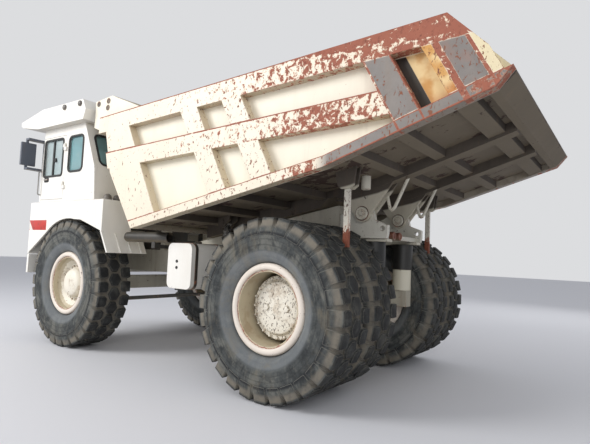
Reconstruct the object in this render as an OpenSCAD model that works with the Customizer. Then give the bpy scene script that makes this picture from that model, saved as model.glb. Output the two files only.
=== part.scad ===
/* [Wheels and tyres] */
// Distance from the rear axle to the front axle
wheelbase = 4460; // [4350:10:4700]
// Distance between the middles of the two front tyres
front_track = 3314; // [3290:2:3340]
// Distance between the middles of the left and right twin wheels
rear_track = 2742; // [2738:2:2780]
// Distance between the middles of the two tyres of a twin wheel
dual_spacing = 750; // [740:2:770]
// Radius of a tyre over its lugs, which is also the height of the axles
tyre_r = 1070; // [1050:5:1085]
// Greatest width of a tyre, at its sidewalls
tyre_w = 650; // [630:2:660]
// Width of the tread over the lugs
tread_w = 570; // [540:5:590]
// Depth of the grooves between the lugs
lug_depth = 60; // [40:5:80]
// Length of a lug along the tread
lug_len = 150; // [120:5:170]
// Angle of a lug to the wheel axis
lug_skew = 12; // [0:1:18]
// Number of lugs on each side of a tyre
lug_count = 24; // [20:4:28]
// Radius of the seat of a tyre on its rim
bead_r = 450; // [445:1:460]
// Radius of a rim over its flanges
flange_r = 533; // [520:1:540]
// Width of a rim over its flanges
rim_w = 460; // [440:2:480]
// Thickness of a rim flange
flange_t = 25; // [18:1:30]
// Thickness of a rim barrel
barrel_t = 20; // [14:1:26]

/* [Dump body] */
// Width over the side rails
body_w = 4160; // [4100:10:4300]
// How far rails and posts stand out from the side sheets
rail_out = 130; // [100:5:150]
// Thickness of the side sheets
sheet_t = 20; // [10:1:30]
// Thickness of the floor plate
floor_t = 25; // [15:1:35]
// Height of the floor plate's underside over the bottom line of the sides
floor_up = 100; // [80:5:130]
// Front lower corner of the sides, ahead of the rear axle
nose_x = 2520; // [2450:10:2600]
// Height of that corner
nose_z = 2000; // [1980:5:2050]
// Slope of the floor, in degrees
floor_rise = 11.5; // [11:0.1:12]
// Place where the floor turns up towards the tail
kick_x = -750; // [-900:10:-700]
// Slope of the tail, in degrees
tail_rise = 18.4; // [17:0.1:20]
// Lower end of the tail's slanted edge
tail_x = -2500; // [-2550:10:-2400]
// Tip of the tail
lip_x = -2640; // [-2700:10:-2600]
// Angle of the slanted rear edge of the sides, in degrees
tail_cut = 46; // [40:1:52]
// Knee of the front wall, ahead of the rear axle
knee_x = 3120; // [3080:10:3160]
// Height of that knee
knee_z = 2860; // [2820:10:2900]
// Top of the front wall, ahead of the rear axle
front_top_x = 3370; // [3330:10:3400]
// Height of the top rail there
rim_z = 3773; // [3700:5:3850]
// Slope of the top rail, in degrees
top_rise = 2.6; // [2:0.1:3]
// Height of the top rail
top_rail_h = 255; // [220:5:280]
// Height of the middle rail
mid_rail_h = 265; // [220:5:280]
// Drop from the top of the top rail to the top of the middle rail
mid_drop = 595; // [560:5:620]
// Height of the bottom rail
low_rail_h = 120; // [100:5:140]
// Lean of the posts, in degrees
post_lean = 28; // [20:1:32]
// Front end of the canopy
canopy_x = 3850; // [3800:10:3860]
// Height of the canopy
canopy_z = 4160; // [4100:10:4200]

/* [Body hinge and hoist] */
// Hinge pins of the body, behind the rear axle
pin_x = -526; // [-560:2:-500]
// Height of the hinge pins
pin_z = 2296; // [2280:2:2310]
// Radius of the hinge pins
pin_r = 60; // [50:1:70]
// Distance of the hoists from the middle of the truck
hoist_y = 880; // [860:5:920]
// Radius of a hoist's barrel
hoist_r = 120; // [110:1:125]
// Lower pin of a hoist, ahead of the rear axle
hoist_base_x = 1350; // [1340:5:1400]
// Height of the lower pin of a hoist
hoist_base_z = 980; // [950:5:1010]
// Upper pin of a hoist, ahead of the rear axle
hoist_eye_x = 1750; // [1720:5:1780]
// Height of the upper pin of a hoist
hoist_eye_z = 2170; // [2150:5:2190]
// Radius of the hoist pins
hoist_pin_r = 40; // [30:1:45]

/* [Chassis] */
// Width over the frame rails
frame_w = 1200; // [1160:10:1220]
// Width of one frame rail
frame_rail_w = 160; // [140:5:180]
// Height of the top of the frame at the front
frame_top_z = 1700; // [1680:5:1720]
// Height of the bottom of the frame at the front
frame_low_z = 1300; // [1290:5:1320]
// Front face of the bumper, ahead of the rear axle
bumper_x = 5780; // [5740:10:5800]
// Kingpins, from the middle of the truck
kingpin_y = 1300; // [1290:2:1310]
// Radius of the kingpins
kingpin_r = 45; // [38:1:50]
// Length of the steering arms
steer_arm = 450; // [420:5:470]
// Radius of the front spindles
front_spindle_r = 90; // [80:1:100]
// Radius of the rear spindles
rear_spindle_r = 150; // [140:1:160]
// Radius of the axle's arms
axle_tube_r = 210; // [190:5:230]
// Radius of the axle's middle housing
banjo_r = 430; // [400:5:450]

/* [Cab and decks] */
// Outer face of the cab and fenders, from the middle of the truck
cab_y = 1950; // [1930:5:1960]
// Inner face of the cab, from the middle of the truck
cab_in_y = 600; // [560:10:640]
// Thickness of the cab walls
cab_wall = 50; // [40:1:60]
// Height of the decks
deck_z = 2480; // [2460:5:2500]
// Thickness of the deck and fender plates
plate_t = 40; // [20:1:50]
// Rear end of the decks, ahead of the rear axle
deck_x = 3450; // [3430:5:3480]
// Height of the cab walls' top
cab_top_z = 3810; // [3780:5:3830]
// Front end of the cab roof
visor_x = 6080; // [6000:10:6100]
// Outermost point of the mirrors, from the middle of the truck
mirror_y = 2290; // [2250:5:2320]
// Thickness of the window glass
glass_t = 8; // [6:1:12]

/* [Hidden] */
$fn = 64;
// Gap between faces of one body that seat on each other but are curved
seat_gap = 0.3;
// Running clearance round a pin
run_gap = 0.05;
// Gap between moving faces
move_gap = 6;
hw = body_w / 2;
sheet_y = hw - rail_out;
axle_z = tyre_r;
twin_y = rear_track / 2;
tyre_y = front_track / 2;
// How far the body's sills hang under the bottom line of the sides
sill_drop = 100;
sill_y = [500, 700];
ear_t = 50;
lug_t = 80;
hinge_y = (sill_y[0] + sill_y[1]) / 2;
frame_y = frame_w / 2;
// The origin lies on the floor under the middle of the truck's length
x_shift = -(visor_x + lip_x) / 2;
cream = "#dcd8c4";
rust = "#8a5a3c";
grey = "#8b8d8a";
dark = "#2c2c2c";
rubber = "#3a3d40";
glass = "#5f9a96";
red = "#c23b34";

function arc(cx, cy, r, a0, a1, n = 6) =
  [for (i = [0:n]) let (a = a0 + (a1 - a0) * i / n) [cx + r * cos(a), cy + r * sin(a)]];
function round_rect(x0, y0, x1, y1, r) = concat(
  arc(x1 - r, y0 + r, r, -90, 0), arc(x1 - r, y1 - r, r, 0, 90),
  arc(x0 + r, y1 - r, r, 90, 180), arc(x0 + r, y0 + r, r, 180, 270));

// A plate whose outline lies in the X-Z plane, between two values of Y
module slab_y(outline, y0, y1) {
  translate([0, y1, 0]) rotate([90, 0, 0]) linear_extrude(y1 - y0) polygon(outline);
}
// A plate whose outline lies in the Y-Z plane, between two values of X
module slab_x(outline, x0, x1) {
  translate([x0, 0, 0]) rotate([90, 0, 90]) linear_extrude(x1 - x0) polygon(outline);
}
// A plate whose outline lies in the X-Y plane, between two heights
module slab_z(outline, z0, z1) {
  translate([0, 0, z0]) linear_extrude(z1 - z0) polygon(outline);
}
module box(low, high) { translate(low) cube(high - low); }
module rod_y(r, y0, y1) { translate([0, y1, 0]) rotate([90, 0, 0]) cylinder(r = r, h = y1 - y0); }
module rod_x(r, x0, x1) { translate([x0, 0, 0]) rotate([0, 90, 0]) cylinder(r = r, h = x1 - x0); }
// A turned piece about the Y axis, from points of radius and Y
module turned_y(profile) { rotate([-90, 0, 0]) rotate_extrude() polygon(profile); }
module both_sides() {
  children();
  mirror([0, 1, 0]) children();
}
module on_side(side) { mirror([0, side < 0 ? 1 : 0, 0]) children(); }
module in_frame() { translate([x_shift, 0, 0]) children(); }

// Bottom line of the body's sides, and the top line of its top rail
function low_z(x) = nose_z + (nose_x - max(x, kick_x)) * tan(floor_rise)
  + max(kick_x - x, 0) * tan(tail_rise);
function top_z(x) = rim_z + (front_top_x - x) * tan(top_rise);
lip_z = low_z(lip_x) + floor_up + floor_t;
corner_x = (rim_z + front_top_x * tan(top_rise) - lip_z + lip_x * tan(tail_cut))
  / (tan(top_rise) + tan(tail_cut));
// Front edge of the sides at a height
function front_x(z) = z < knee_z
  ? nose_x + (z - nose_z) * (knee_x - nose_x) / (knee_z - nose_z)
  : knee_x + (z - knee_z) * (front_top_x - knee_x) / (rim_z - knee_z);
// Rear edge of the sides at a height
function rear_x(z) = z < lip_z
  ? tail_x + (z - low_z(tail_x)) * (lip_x - tail_x) / (lip_z - low_z(tail_x))
  : lip_x + (z - lip_z) / tan(tail_cut);

// Tyres: a turned casing that carries two rows of tall block lugs

tread_r = tyre_r - lug_depth;
module tyre() {
  half = tyre_w / 2;
  seat = rim_w / 2 - flange_t - seat_gap;
  side = [[bead_r + seat_gap, seat], [flange_r + 8, seat], [flange_r + 14, rim_w / 2 + 8],
    [flange_r + 110, half - 22], [tyre_r - 290, half], [tyre_r - 170, half - 12],
    [tread_r - 30, tread_w / 2 - 10], [tread_r, tread_w / 2 - 50]];
  color(rubber) union() {
    turned_y(concat(side, [for (i = [len(side) - 1:-1:0]) [side[i][0], -side[i][1]]]));
    intersection() {
      for (row = [0, 1], i = [0:lug_count - 1])
        rotate([0, (i + row / 2) * 360 / lug_count, 0]) on_side(row == 0 ? 1 : -1)
          rotate([0, 0, row == 0 ? lug_skew : -lug_skew])
            slab_x([[35, tread_r - 40], [35, tyre_r + 20], [tread_w / 2, tyre_r + 20],
              [tread_w / 2, tyre_r - 25], [half + 4, tyre_r - 190], [half - 60, tyre_r - 200]],
              -lug_len / 2, lug_len / 2);
      rod_y(tyre_r, -half, half);
    }
  }
}

// Rims and hubs

// Flanged rim from the outer edge inwards, as points on the outer surface
function rim_outer(y) = [
  [flange_r, y - rim_w / 2], [flange_r, y - rim_w / 2 + flange_t], [bead_r, y - rim_w / 2 + flange_t],
  [bead_r, y + rim_w / 2 - flange_t], [flange_r, y + rim_w / 2 - flange_t], [flange_r, y + rim_w / 2]];
barrel_r = bead_r - barrel_t;
front_cap_y = 100;
module front_rim() {
  bore = front_spindle_r + run_gap;
  color(cream) difference() {
    turned_y(concat(
      [[bore, -100], [200, -100], [200, 10], [330, 20], [barrel_r, 100], [barrel_r, -rim_w / 2]],
      rim_outer(0),
      [[barrel_r, rim_w / 2], [barrel_r, 150], [330, 60], [255, 60], [245, 120], [205, 165],
      [120, 190], [0, 196], [0, front_cap_y], [bore, front_cap_y]]));
    for (i = [0:11]) rotate([0, i * 30, 0]) translate([295, 0, 0]) rod_y(24, -10, 100);
  }
}
rear_cap_y = 130;
module rear_rims() {
  bore = rear_spindle_r + run_gap;
  edge = dual_spacing / 2 + rim_w / 2;
  inner_edge = dual_spacing / 2 - rim_w / 2;
  color(cream) turned_y(concat(
    [[bore, -560], [300, -560], [300, -300], [380, -260], [380, -inner_edge],
    [barrel_r, -inner_edge], [barrel_r, -edge]],
    rim_outer(-dual_spacing / 2), [[bead_r, -inner_edge], [bead_r, inner_edge]],
    rim_outer(dual_spacing / 2),
    [[barrel_r, edge], [barrel_r, -85], [380, -85], [380, 170], [330, 229], [0, 229],
    [0, rear_cap_y], [bore, rear_cap_y]]));
}
module front_place(side) {
  in_frame() translate([wheelbase, side * tyre_y, axle_z]) on_side(side) children();
}
module rear_place(side) {
  in_frame() translate([0, side * twin_y, axle_z]) on_side(side) children();
}
module rear_tyres() { for (k = [-1, 1]) translate([0, k * dual_spacing / 2, 0]) tyre(); }

// Front axle: a beam with an eye at each end, in which the kingpin of the knuckle turns

beam_z = [axle_z - 120, axle_z + 120];
eye_r = 100;
arm_t = 60;
stud_r = 25;
knuckle_plate_y = kingpin_y + eye_r + move_gap;
arm_z = [axle_z - 220, axle_z - 130];
arm_x = -steer_arm;
module front_axle() {
  in_frame() translate([wheelbase, 0, 0]) color(cream) difference() {
    union() {
      box([-100, -kingpin_y, beam_z[0]], [100, kingpin_y, beam_z[1]]);
      both_sides() translate([0, kingpin_y, beam_z[0]]) cylinder(r = eye_r, h = beam_z[1] - beam_z[0]);
      both_sides() box([-130, strut_y - 130, beam_z[1]], [130, strut_y + 130, beam_z[1] + 40]);
    }
    both_sides() translate([0, kingpin_y, beam_z[0] - 1])
      cylinder(r = kingpin_r + run_gap, h = beam_z[1] - beam_z[0] + 2);
    both_sides() box([-200, kingpin_y, beam_z[0] - 1], [-eye_r * 0.98, kingpin_y + 1, beam_z[1] + 1]);
  }
}
module knuckle(side) {
  tip_y = tyre_y + front_cap_y - 5;
  in_frame() translate([wheelbase, 0, 0]) on_side(side) color(grey) difference() {
    union() {
      translate([0, kingpin_y, arm_z[0]]) cylinder(r = kingpin_r, h = 2 * (axle_z - arm_z[0]));
      for (z = [arm_z[0], beam_z[1] + move_gap]) {
        translate([0, kingpin_y, z]) cylinder(r = eye_r, h = arm_z[1] - arm_z[0] - move_gap);
        box([-eye_r, kingpin_y, z], [eye_r, knuckle_plate_y + 10, z + arm_z[1] - arm_z[0] - move_gap]);
      }
      translate([0, 0, axle_z]) rod_y(230, knuckle_plate_y, knuckle_plate_y + 40);
      translate([0, 0, axle_z]) rod_y(front_spindle_r, knuckle_plate_y, tip_y);
      slab_z([[-20, kingpin_y - 90], [-20, kingpin_y + 90], [arm_x, kingpin_y + 50],
        [arm_x, kingpin_y - 50]], arm_z[0], arm_z[0] + arm_t);
      translate([arm_x, kingpin_y, arm_z[0]]) cylinder(r = 60, h = arm_t);
    }
    translate([arm_x, kingpin_y, arm_z[0] - 1]) cylinder(r = stud_r + 1, h = arm_t + 2);
  }
}
module tie_rod() {
  rod_z = arm_z[0] - move_gap - 40;
  in_frame() translate([wheelbase + arm_x, 0, rod_z]) color(grey) union() {
    rod_y(34, -kingpin_y, kingpin_y);
    both_sides() translate([0, kingpin_y, -40]) cylinder(r = 55, h = 80);
    both_sides() translate([0, kingpin_y, 0]) cylinder(r = stud_r, h = 40 + move_gap + arm_t);
  }
}

// Suspension cylinders, upright between frame and axles

strut_y = 850;
strut_r = 100;
rear_strut = [-620, 480, 150];
tower_z = 1900;
module strut(r, z0, z1) {
  mid = z0 + (z1 - z0) * 0.45;
  color(cream) translate([0, 0, z0]) cylinder(r = r * 0.9, h = mid - z0);
  color(dark) translate([0, 0, mid]) cylinder(r = r, h = z1 - mid);
}
module struts() {
  in_frame() both_sides() {
    translate([wheelbase, strut_y, 0]) strut(strut_r, beam_z[1] + 40, tower_z);
    translate([rear_strut[0], rear_strut[1], 0]) strut(rear_strut[2], axle_z + 180, bracket_low_z);
  }
}

// Rear axle housing

module rear_axle() {
  tip_y = twin_y + rear_cap_y - 5;
  arm_end = twin_y - 560 - 20;
  half = [[banjo_r, 180], [banjo_r - 90, 290], [axle_tube_r, 420],
    [axle_tube_r, arm_end], [rear_spindle_r, arm_end], [rear_spindle_r, tip_y], [0, tip_y]];
  in_frame() translate([0, 0, axle_z]) color(cream) {
    union() {
      turned_y(concat([for (i = [len(half) - 1:-1:0]) [half[i][0], -half[i][1]]], half));
      rod_x(190, 300, 560);
      both_sides() box([rear_strut[0] - 110, rear_strut[1] - 90, -60],
        [0, rear_strut[1] + 90, 180]);
    }
  }
}

// Frame: two deep rails that rise to the body hinge, joined by cross members

frame_in_y = frame_y - frame_rail_w;
function frame_top(x) = min(max(low_z(x) - sill_drop - move_gap, frame_top_z), pin_z + 130);
bracket_low_z = 1930;
// Top of the shelf on which the rear brackets stand
shelf_z = bracket_low_z + 40;
frame_end_x = pin_x - 330;
break_x = nose_x + (nose_z - sill_drop - move_gap - frame_top_z) / tan(floor_rise);
tail_top_x = -120;
module frame_rail() {
  slab_y([[bumper_x - 60, frame_low_z], [bumper_x - 60, frame_top_z], [break_x, frame_top_z],
    [tail_top_x, frame_top(tail_top_x)], [tail_top_x - 40, shelf_z],
    [frame_end_x, shelf_z], [frame_end_x, bracket_low_z],
    [rear_strut[0] + rear_strut[2], bracket_low_z], [700, bracket_low_z - 90],
    [1400, frame_low_z + 220], [2200, frame_low_z]], frame_in_y, frame_y);
}
module frame() {
  in_frame() color(cream) union() {
    both_sides() frame_rail();
    for (m = [[bumper_x - 200, frame_low_z + 40], [3480, frame_low_z + 270], [2350, frame_low_z + 130]])
      box([m[0], -frame_in_y, m[1]], [m[0] + 140, frame_in_y, frame_top_z - 40]);
    box([500, -frame_in_y, bracket_low_z - 50], [640, frame_in_y, bracket_low_z + 160]);
    both_sides() {
      box([wheelbase - 120, frame_in_y, frame_top_z], [wheelbase + 120, frame_y + 30, tower_z + 150]);
      box([wheelbase - 120, frame_y, tower_z], [wheelbase + 120, strut_y + 130, tower_z + 150]);
      for (x = [deck_x + 80, bumper_x - 330]) {
        box([x, frame_in_y, frame_top_z], [x + 120, frame_y, deck_z - plate_t - 100]);
        box([x, frame_in_y, deck_z - plate_t - 100], [x + 120, cab_y - plate_t, deck_z - plate_t]);
      }
    }
  }
}
// Forked brackets that carry the lower pins of the hoists
module hoist_brackets() { in_frame() color(cream) both_sides() hoist_bracket(); }
module hoist_bracket() {
  fork = [hoist_y - hoist_eye_half - move_gap, hoist_y + hoist_eye_half + move_gap];
  low = hoist_base_z - hoist_eye_r - move_gap;
  slab_y([[hoist_base_x - 120, low - 60], [hoist_base_x + 120, low - 60], [hoist_base_x + 130, hoist_base_z],
    [hoist_base_x + 260, frame_low_z + 300], [hoist_base_x - 40, frame_low_z + 300],
    [hoist_base_x - 130, hoist_base_z]], frame_y, hoist_y - hoist_r - move_gap);
  for (y = [[frame_y, fork[0]], [fork[1], fork[1] + 50]])
    slab_y(concat([[hoist_base_x - 120, low - 60], [hoist_base_x + 120, low - 60]],
      arc(hoist_base_x, hoist_base_z, hoist_eye_r, 0, 180)), y[0], y[1]);
  box([hoist_base_x - 120, frame_y, low - 60], [hoist_base_x + 120, fork[1] + 50, low]);
  translate([hoist_base_x, 0, hoist_base_z]) rod_y(hoist_pin_r, frame_y, fork[1] + 65);
}

// Rear brackets of the frame, with the hinge pins and the holes of the body lock

lock_x = -800;
lock_z = 2100;
lock_r = 32;
module rear_brackets() {
  bracket = [[tail_top_x - 45, shelf_z], [tail_top_x - 45, pin_z - 10],
    [pin_x + 150, pin_z + 90], [pin_x + 60, pin_z + 125], [pin_x - 60, pin_z + 125],
    [pin_x - 125, pin_z + 60], [pin_x - 160, pin_z - 80], [lock_x - 70, lock_z + 50],
    [lock_x - 70, lock_z - 60], [frame_end_x, shelf_z]];
  in_frame() color(cream) difference() {
    union() {
      both_sides() slab_y(bracket, hinge_y - lug_t / 2, hinge_y + lug_t / 2);
      both_sides() translate([pin_x, 0, pin_z])
        rod_y(pin_r, hinge_y - lug_t / 2 - ear_t - 12, hinge_y + lug_t / 2 + ear_t + 12);
      box([frame_end_x + 60, -hinge_y, shelf_z], [frame_end_x + 110, hinge_y, lock_z - 2 * lock_r]);
    }
    both_sides() translate([lock_x, 0, lock_z]) rod_y(lock_r, hinge_y - lug_t, hinge_y + lug_t);
  }
}

// Front end: bumper, radiator grille, lamps, engine and hood

module bumper() {
  in_frame() color(cream) difference() {
    union() {
      box([bumper_x - 60, -cab_y, 1180], [bumper_x, cab_y, deck_low_z - 10]);
      both_sides() box([bumper_x, tow_y - 30, 1250], [bumper_x + 120, tow_y + 30, 1400]);
    }
    translate([bumper_x + 65, 0, 1325]) rod_y(tow_r, -tow_y - 40, tow_y + 40);
  }
}
tow_y = 450;
tow_r = 35;
hood_y = 540;
hood_t = 20;
bay_y = hood_y - hood_t;
grille_top_z = 2780;
slat_count = 12;
module grille() {
  rim = 50;
  low = frame_top_z + rim;
  pitch = (grille_top_z - rim - low) / slat_count;
  in_frame() color(dark) union() {
    difference() {
      box([bumper_x - 120, -bay_y, frame_top_z], [bumper_x - 20, bay_y, grille_top_z]);
      box([bumper_x - 60, -bay_y + rim, low], [bumper_x, bay_y - rim, grille_top_z - rim]);
    }
    for (i = [0:slat_count - 1])
      box([bumper_x - 60, -bay_y + rim, low + (i + 0.3) * pitch], [bumper_x - 30, bay_y - rim, low + (i + 0.7) * pitch]);
  }
}
module headlamps() {
  in_frame() color("white") both_sides() for (y = [0, 230])
    translate([bumper_x, 950 + y, 1830]) rod_x(85, 0, 25);
}
module engine() {
  in_frame() color(grey) union() {
    box([4050, -frame_in_y + 30, 1340], [5480, frame_in_y - 30, 2640]);
    both_sides() for (x = [4250, 5250]) box([x, 300, 1500], [x + 120, frame_in_y, 1600]);
    box([3650, -260, 1340], [4050, 260, 1900]);
  }
}
module hood() {
  in_frame() color(cream) difference() {
    slab_x([[-hood_y, deck_z], [hood_y, deck_z], [hood_y, 2740], [hood_y - 60, 2820],
      [-hood_y + 60, 2820], [-hood_y, 2740]], 3700, bumper_x - 125);
    slab_x([[-bay_y, deck_z - 1], [bay_y, deck_z - 1], [bay_y, 2730], [bay_y - 50, 2800],
      [-bay_y + 50, 2800], [-bay_y, 2730]], 3700 + hood_t, bumper_x - 125 - hood_t);
  }
}

// Decks and fenders, the same shape on both sides

deck_low_z = 1530;
// Clearance of the wheel arch round the tyre
arch_gap = 35;
module deck() {
  skin = concat([[deck_x, 1960], [deck_x, deck_z], [bumper_x, deck_z], [bumper_x, deck_low_z]],
    arc(wheelbase, axle_z, tyre_r + arch_gap, 51, 100, 8), [[wheelbase - 380, 2150], [wheelbase - 740, 2040]]);
  union() {
    slab_y(skin, cab_y - plate_t, cab_y);
    box([deck_x, bay_y, deck_z - plate_t], [bumper_x, cab_y, deck_z]);
    box([deck_x, 1400, 1960], [deck_x + plate_t, cab_y, deck_z]);
    slab_y([[deck_x, 1960], [deck_x + plate_t, 1960], [3290, 1620], [3250, 1620]], 1200, cab_y);
    box([bumper_x - plate_t, bay_y, deck_low_z], [bumper_x, cab_y, deck_z]);
  }
}
module deck_left() { in_frame() color(cream) deck(); }
module deck_right() { in_frame() color(cream) mirror([0, 1, 0]) deck(); }

// Cab: a hollow shell with cut windows, a roof with a deep visor, and one side door

cab_rear_x = 3710;
cab_front_x = 5500;
door_x = [4700, 5460];
hinge_pin = [door_x[0], cab_y + 20];
door_pin_r = 9;
door_hinges = [2700, 3380];
// A door hinge: the lug of the cab with its pin below, the eye of the door above
module hinge_lug() {
  for (z = door_hinges) {
    translate([hinge_pin[0], hinge_pin[1], z]) cylinder(r = 17, h = 60);
    translate([hinge_pin[0], hinge_pin[1], z]) cylinder(r = door_pin_r, h = 130);
    box([hinge_pin[0] - 60, cab_y, z], [hinge_pin[0], hinge_pin[1] + 10, z + 60]);
  }
}
module hinge_eye() {
  for (z = door_hinges) translate([hinge_pin[0], hinge_pin[1], z + 61]) {
    cylinder(r = 17, h = 60);
    translate([0, cab_y - hinge_pin[1], 0]) cube([70, 14, 60]);
  }
}
door_z = [deck_z + 40, 3660];
cab_side = [[cab_rear_x, deck_z], [cab_rear_x + 60, 3030], [cab_rear_x + 420, cab_top_z],
  [cab_front_x - 60, cab_top_z], [cab_front_x, 2940], [cab_front_x, deck_z]];
function inset(outline, t) = [for (p = outline)
  [p[0] + (p[0] < 4600 ? t : -t), p[1] < 2500 ? p[1] + t : p[1] > 3700 ? p[1] + 1 : p[1]]];
quarter = round_rect(4140, 2990, 4580, 3610, 90);
door_window = round_rect(door_x[0] + 70, 2940, door_x[1] - 60, 3610, 60);
rear_window = round_rect(800, 3080, cab_y - 120, 3620, 90);
screen = round_rect(cab_in_y + 90, 2980, cab_y - 90, 3700, 90);
module cab_shell() {
  in_frame() color(cream) {
    hinge_lug();
    cab_walls();
  }
}
module cab_walls() {
  difference() {
    slab_y(cab_side, cab_in_y, cab_y);
    slab_y(inset(cab_side, cab_wall), cab_in_y + cab_wall, cab_y - cab_wall);
    box([door_x[0], cab_y - 60, door_z[0]], [door_x[1], cab_y + 1, door_z[1]]);
    slab_y(quarter, cab_y - 60, cab_y + 1);
    slab_y(round_rect(4140, 2990, 5300, 3610, 90), cab_in_y - 1, cab_in_y + 60);
    slab_x(rear_window, cab_rear_x - 20, 4200);
    slab_x(screen, cab_front_x - 120, cab_front_x + 1);
  }
}
module cab_roof() {
  in_frame() color(cream) slab_y([[3900, cab_top_z + 170], [3960, cab_top_z], [5440, cab_top_z],
    [6000, cab_top_z + 90], [visor_x, cab_top_z + 130], [visor_x, cab_top_z + 200],
    [5300, canopy_z], [4000, canopy_z]], cab_in_y - 100, cab_y + 150);
}
// Panes lie in the middle of the walls, cut by the same outlines as the openings
module pane(outline, y, scale_in = 0) { slab_y(outline, y - glass_t / 2, y + glass_t / 2); }
module cab_glass() {
  mid = cab_y - cab_wall / 2;
  in_frame() color(glass) {
    pane(quarter, mid);
    slab_y(round_rect(4140, 2990, 5300, 3610, 90), cab_in_y + cab_wall / 2 - 4, cab_in_y + cab_wall / 2 + 4);
    intersection() {
      slab_x(screen, cab_front_x - 120, cab_front_x + 1);
      slab_y([[cab_front_x - 20, 2900], [cab_front_x - 30, 2900], [cab_front_x - 85, 3750], [cab_front_x - 75, 3750]],
        cab_in_y, cab_y);
    }
    intersection() {
      slab_x(rear_window, cab_rear_x - 20, 4200);
      slab_y([[cab_rear_x + 85, 3030], [cab_rear_x + 95, 3030], [cab_rear_x + 455, cab_top_z],
        [cab_rear_x + 445, cab_top_z]], cab_in_y, cab_y);
    }
  }
}
module cab_seat() {
  in_frame() color(dark) union() {
    box([4300, 1100, deck_z + cab_wall], [4700, 1450, deck_z + 300]);
    box([4250, 1020, deck_z + 300], [4780, 1530, deck_z + 420]);
    slab_y([[4150, deck_z + 420], [4290, deck_z + 420], [4200, deck_z + 1050], [4100, deck_z + 1050]], 1020, 1530);
    box([5180, cab_in_y + cab_wall, deck_z + cab_wall], [cab_front_x - cab_wall, cab_y - cab_wall - 20, deck_z + 430]);
  }
}
module door() {
  gap = move_gap;
  in_frame() color(cream) difference() {
    union() {
      box([door_x[0] + gap, cab_y - cab_wall, door_z[0] + gap], [door_x[1] - gap, cab_y, door_z[1] - gap]);
      hinge_eye();
    }
    slab_y(door_window, cab_y - cab_wall - 1, cab_y + 1);
    translate([hinge_pin[0], hinge_pin[1], door_z[0]]) cylinder(r = door_pin_r + run_gap, h = 1200);
  }
}
module door_glass() {
  in_frame() color(glass) pane(door_window, cab_y - cab_wall / 2);
}
module mirrors() {
  in_frame() color(dark) {
    union() {
      box([cab_front_x, cab_y - 60, deck_z], [cab_front_x + 40, cab_y - 20, 3640]);
      for (z = [3060, 3600]) box([cab_front_x, cab_y - 60, z], [cab_front_x + 120, mirror_y - 80, z + 40]);
      box([cab_front_x + 80, mirror_y - 260, 3140], [cab_front_x + 130, mirror_y, 3560]);
      box([cab_front_x + 80, mirror_y - 120, 3060], [cab_front_x + 120, mirror_y - 80, 3640]);
    }
    mirror([0, 1, 0]) union() {
      box([cab_front_x + 80, cab_y - 60, deck_z], [cab_front_x + 120, cab_y - 20, 3640]);
      for (z = [3060, 3600]) box([cab_front_x + 80, cab_y - 60, z], [cab_front_x + 120, mirror_y - 80, z + 40]);
      box([cab_front_x + 80, mirror_y - 260, 3140], [cab_front_x + 130, mirror_y, 3560]);
      box([cab_front_x + 80, mirror_y - 120, 3060], [cab_front_x + 120, mirror_y - 80, 3640]);
    }
  }
}

// Tanks, pipe and air cleaners

tank_y = [frame_y, 1740];
module tank(x0, x1, z0, z1) {
  slab_y(round_rect(x0, z0, x1, z1, 90), tank_y[0] + 480, tank_y[1]);
  for (z = [z0 + 150, z1 - 230]) box([x0 + 160, tank_y[0], z], [x0 + 260, tank_y[0] + 480, z + 80]);
}
module fuel_tank() { in_frame() color(cream) union() tank(1560, 2060, 1160, 1810); }
module oil_tank() { in_frame() color(cream) mirror([0, 1, 0]) union() tank(1560, 2160, 1160, 1810); }
module exhaust_pipe() {
  in_frame() color(dark) translate([0, 1600, 1890]) difference() {
    union() {
      rod_x(80, 2200, 3230);
      box([2500, -1600 + frame_y, -170], [2580, 0, -110]);
      box([2500, -40, -170], [2580, 40, -60]);
    }
    rod_x(68, 2199, 3100);
  }
}
module air_cleaners() {
  in_frame() color(dark) for (y = [-1250, -1650]) translate([3640, y, deck_z]) union() {
    cylinder(r = 150, h = 420);
    translate([0, 0, 420]) cylinder(r1 = 190, r2 = 120, h = 90);
  }
}
module handrails() {
  posts = [3600, 4300, 5000, 5600];
  in_frame() color(cream) mirror([0, 1, 0]) union() {
    for (x = posts) translate([x, cab_y - 80, deck_z]) cylinder(r = 20, h = 950);
    for (z = [480, 950]) translate([0, cab_y - 80, deck_z + z]) rod_x(20, posts[0] - 20, posts[3] + 20);
  }
}
module driveshaft() {
  in_frame() color(grey) translate([0, 0, axle_z]) union() {
    slab_y([[560, -70], [560, 70], [3640, 480], [3640, 340]], -70, 70);
  }
}

// Dump body

function band(x0, x1, up, h) = [[x0, low_z(x0) + up], [x1, low_z(x1) + up], [x1, low_z(x1) + up + h],
  [x0, low_z(x0) + up + h]];
// Strip along the bottom line from x0 back to x1, bent at the kick
function bent_band(x0, x1, up, h) = [[x0, low_z(x0) + up], [kick_x, low_z(kick_x) + up],
  [x1, low_z(x1) + up], [x1, low_z(x1) + up + h], [kick_x, low_z(kick_x) + up + h],
  [x0, low_z(x0) + up + h]];
side_outline = [[nose_x, nose_z], [kick_x, low_z(kick_x)], [tail_x, low_z(tail_x)], [lip_x, lip_z],
  [corner_x, top_z(corner_x)], [front_top_x, rim_z], [knee_x, knee_z]];
front_t = 20;
nose_lean = (knee_x - nose_x) / (knee_z - nose_z);
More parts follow.
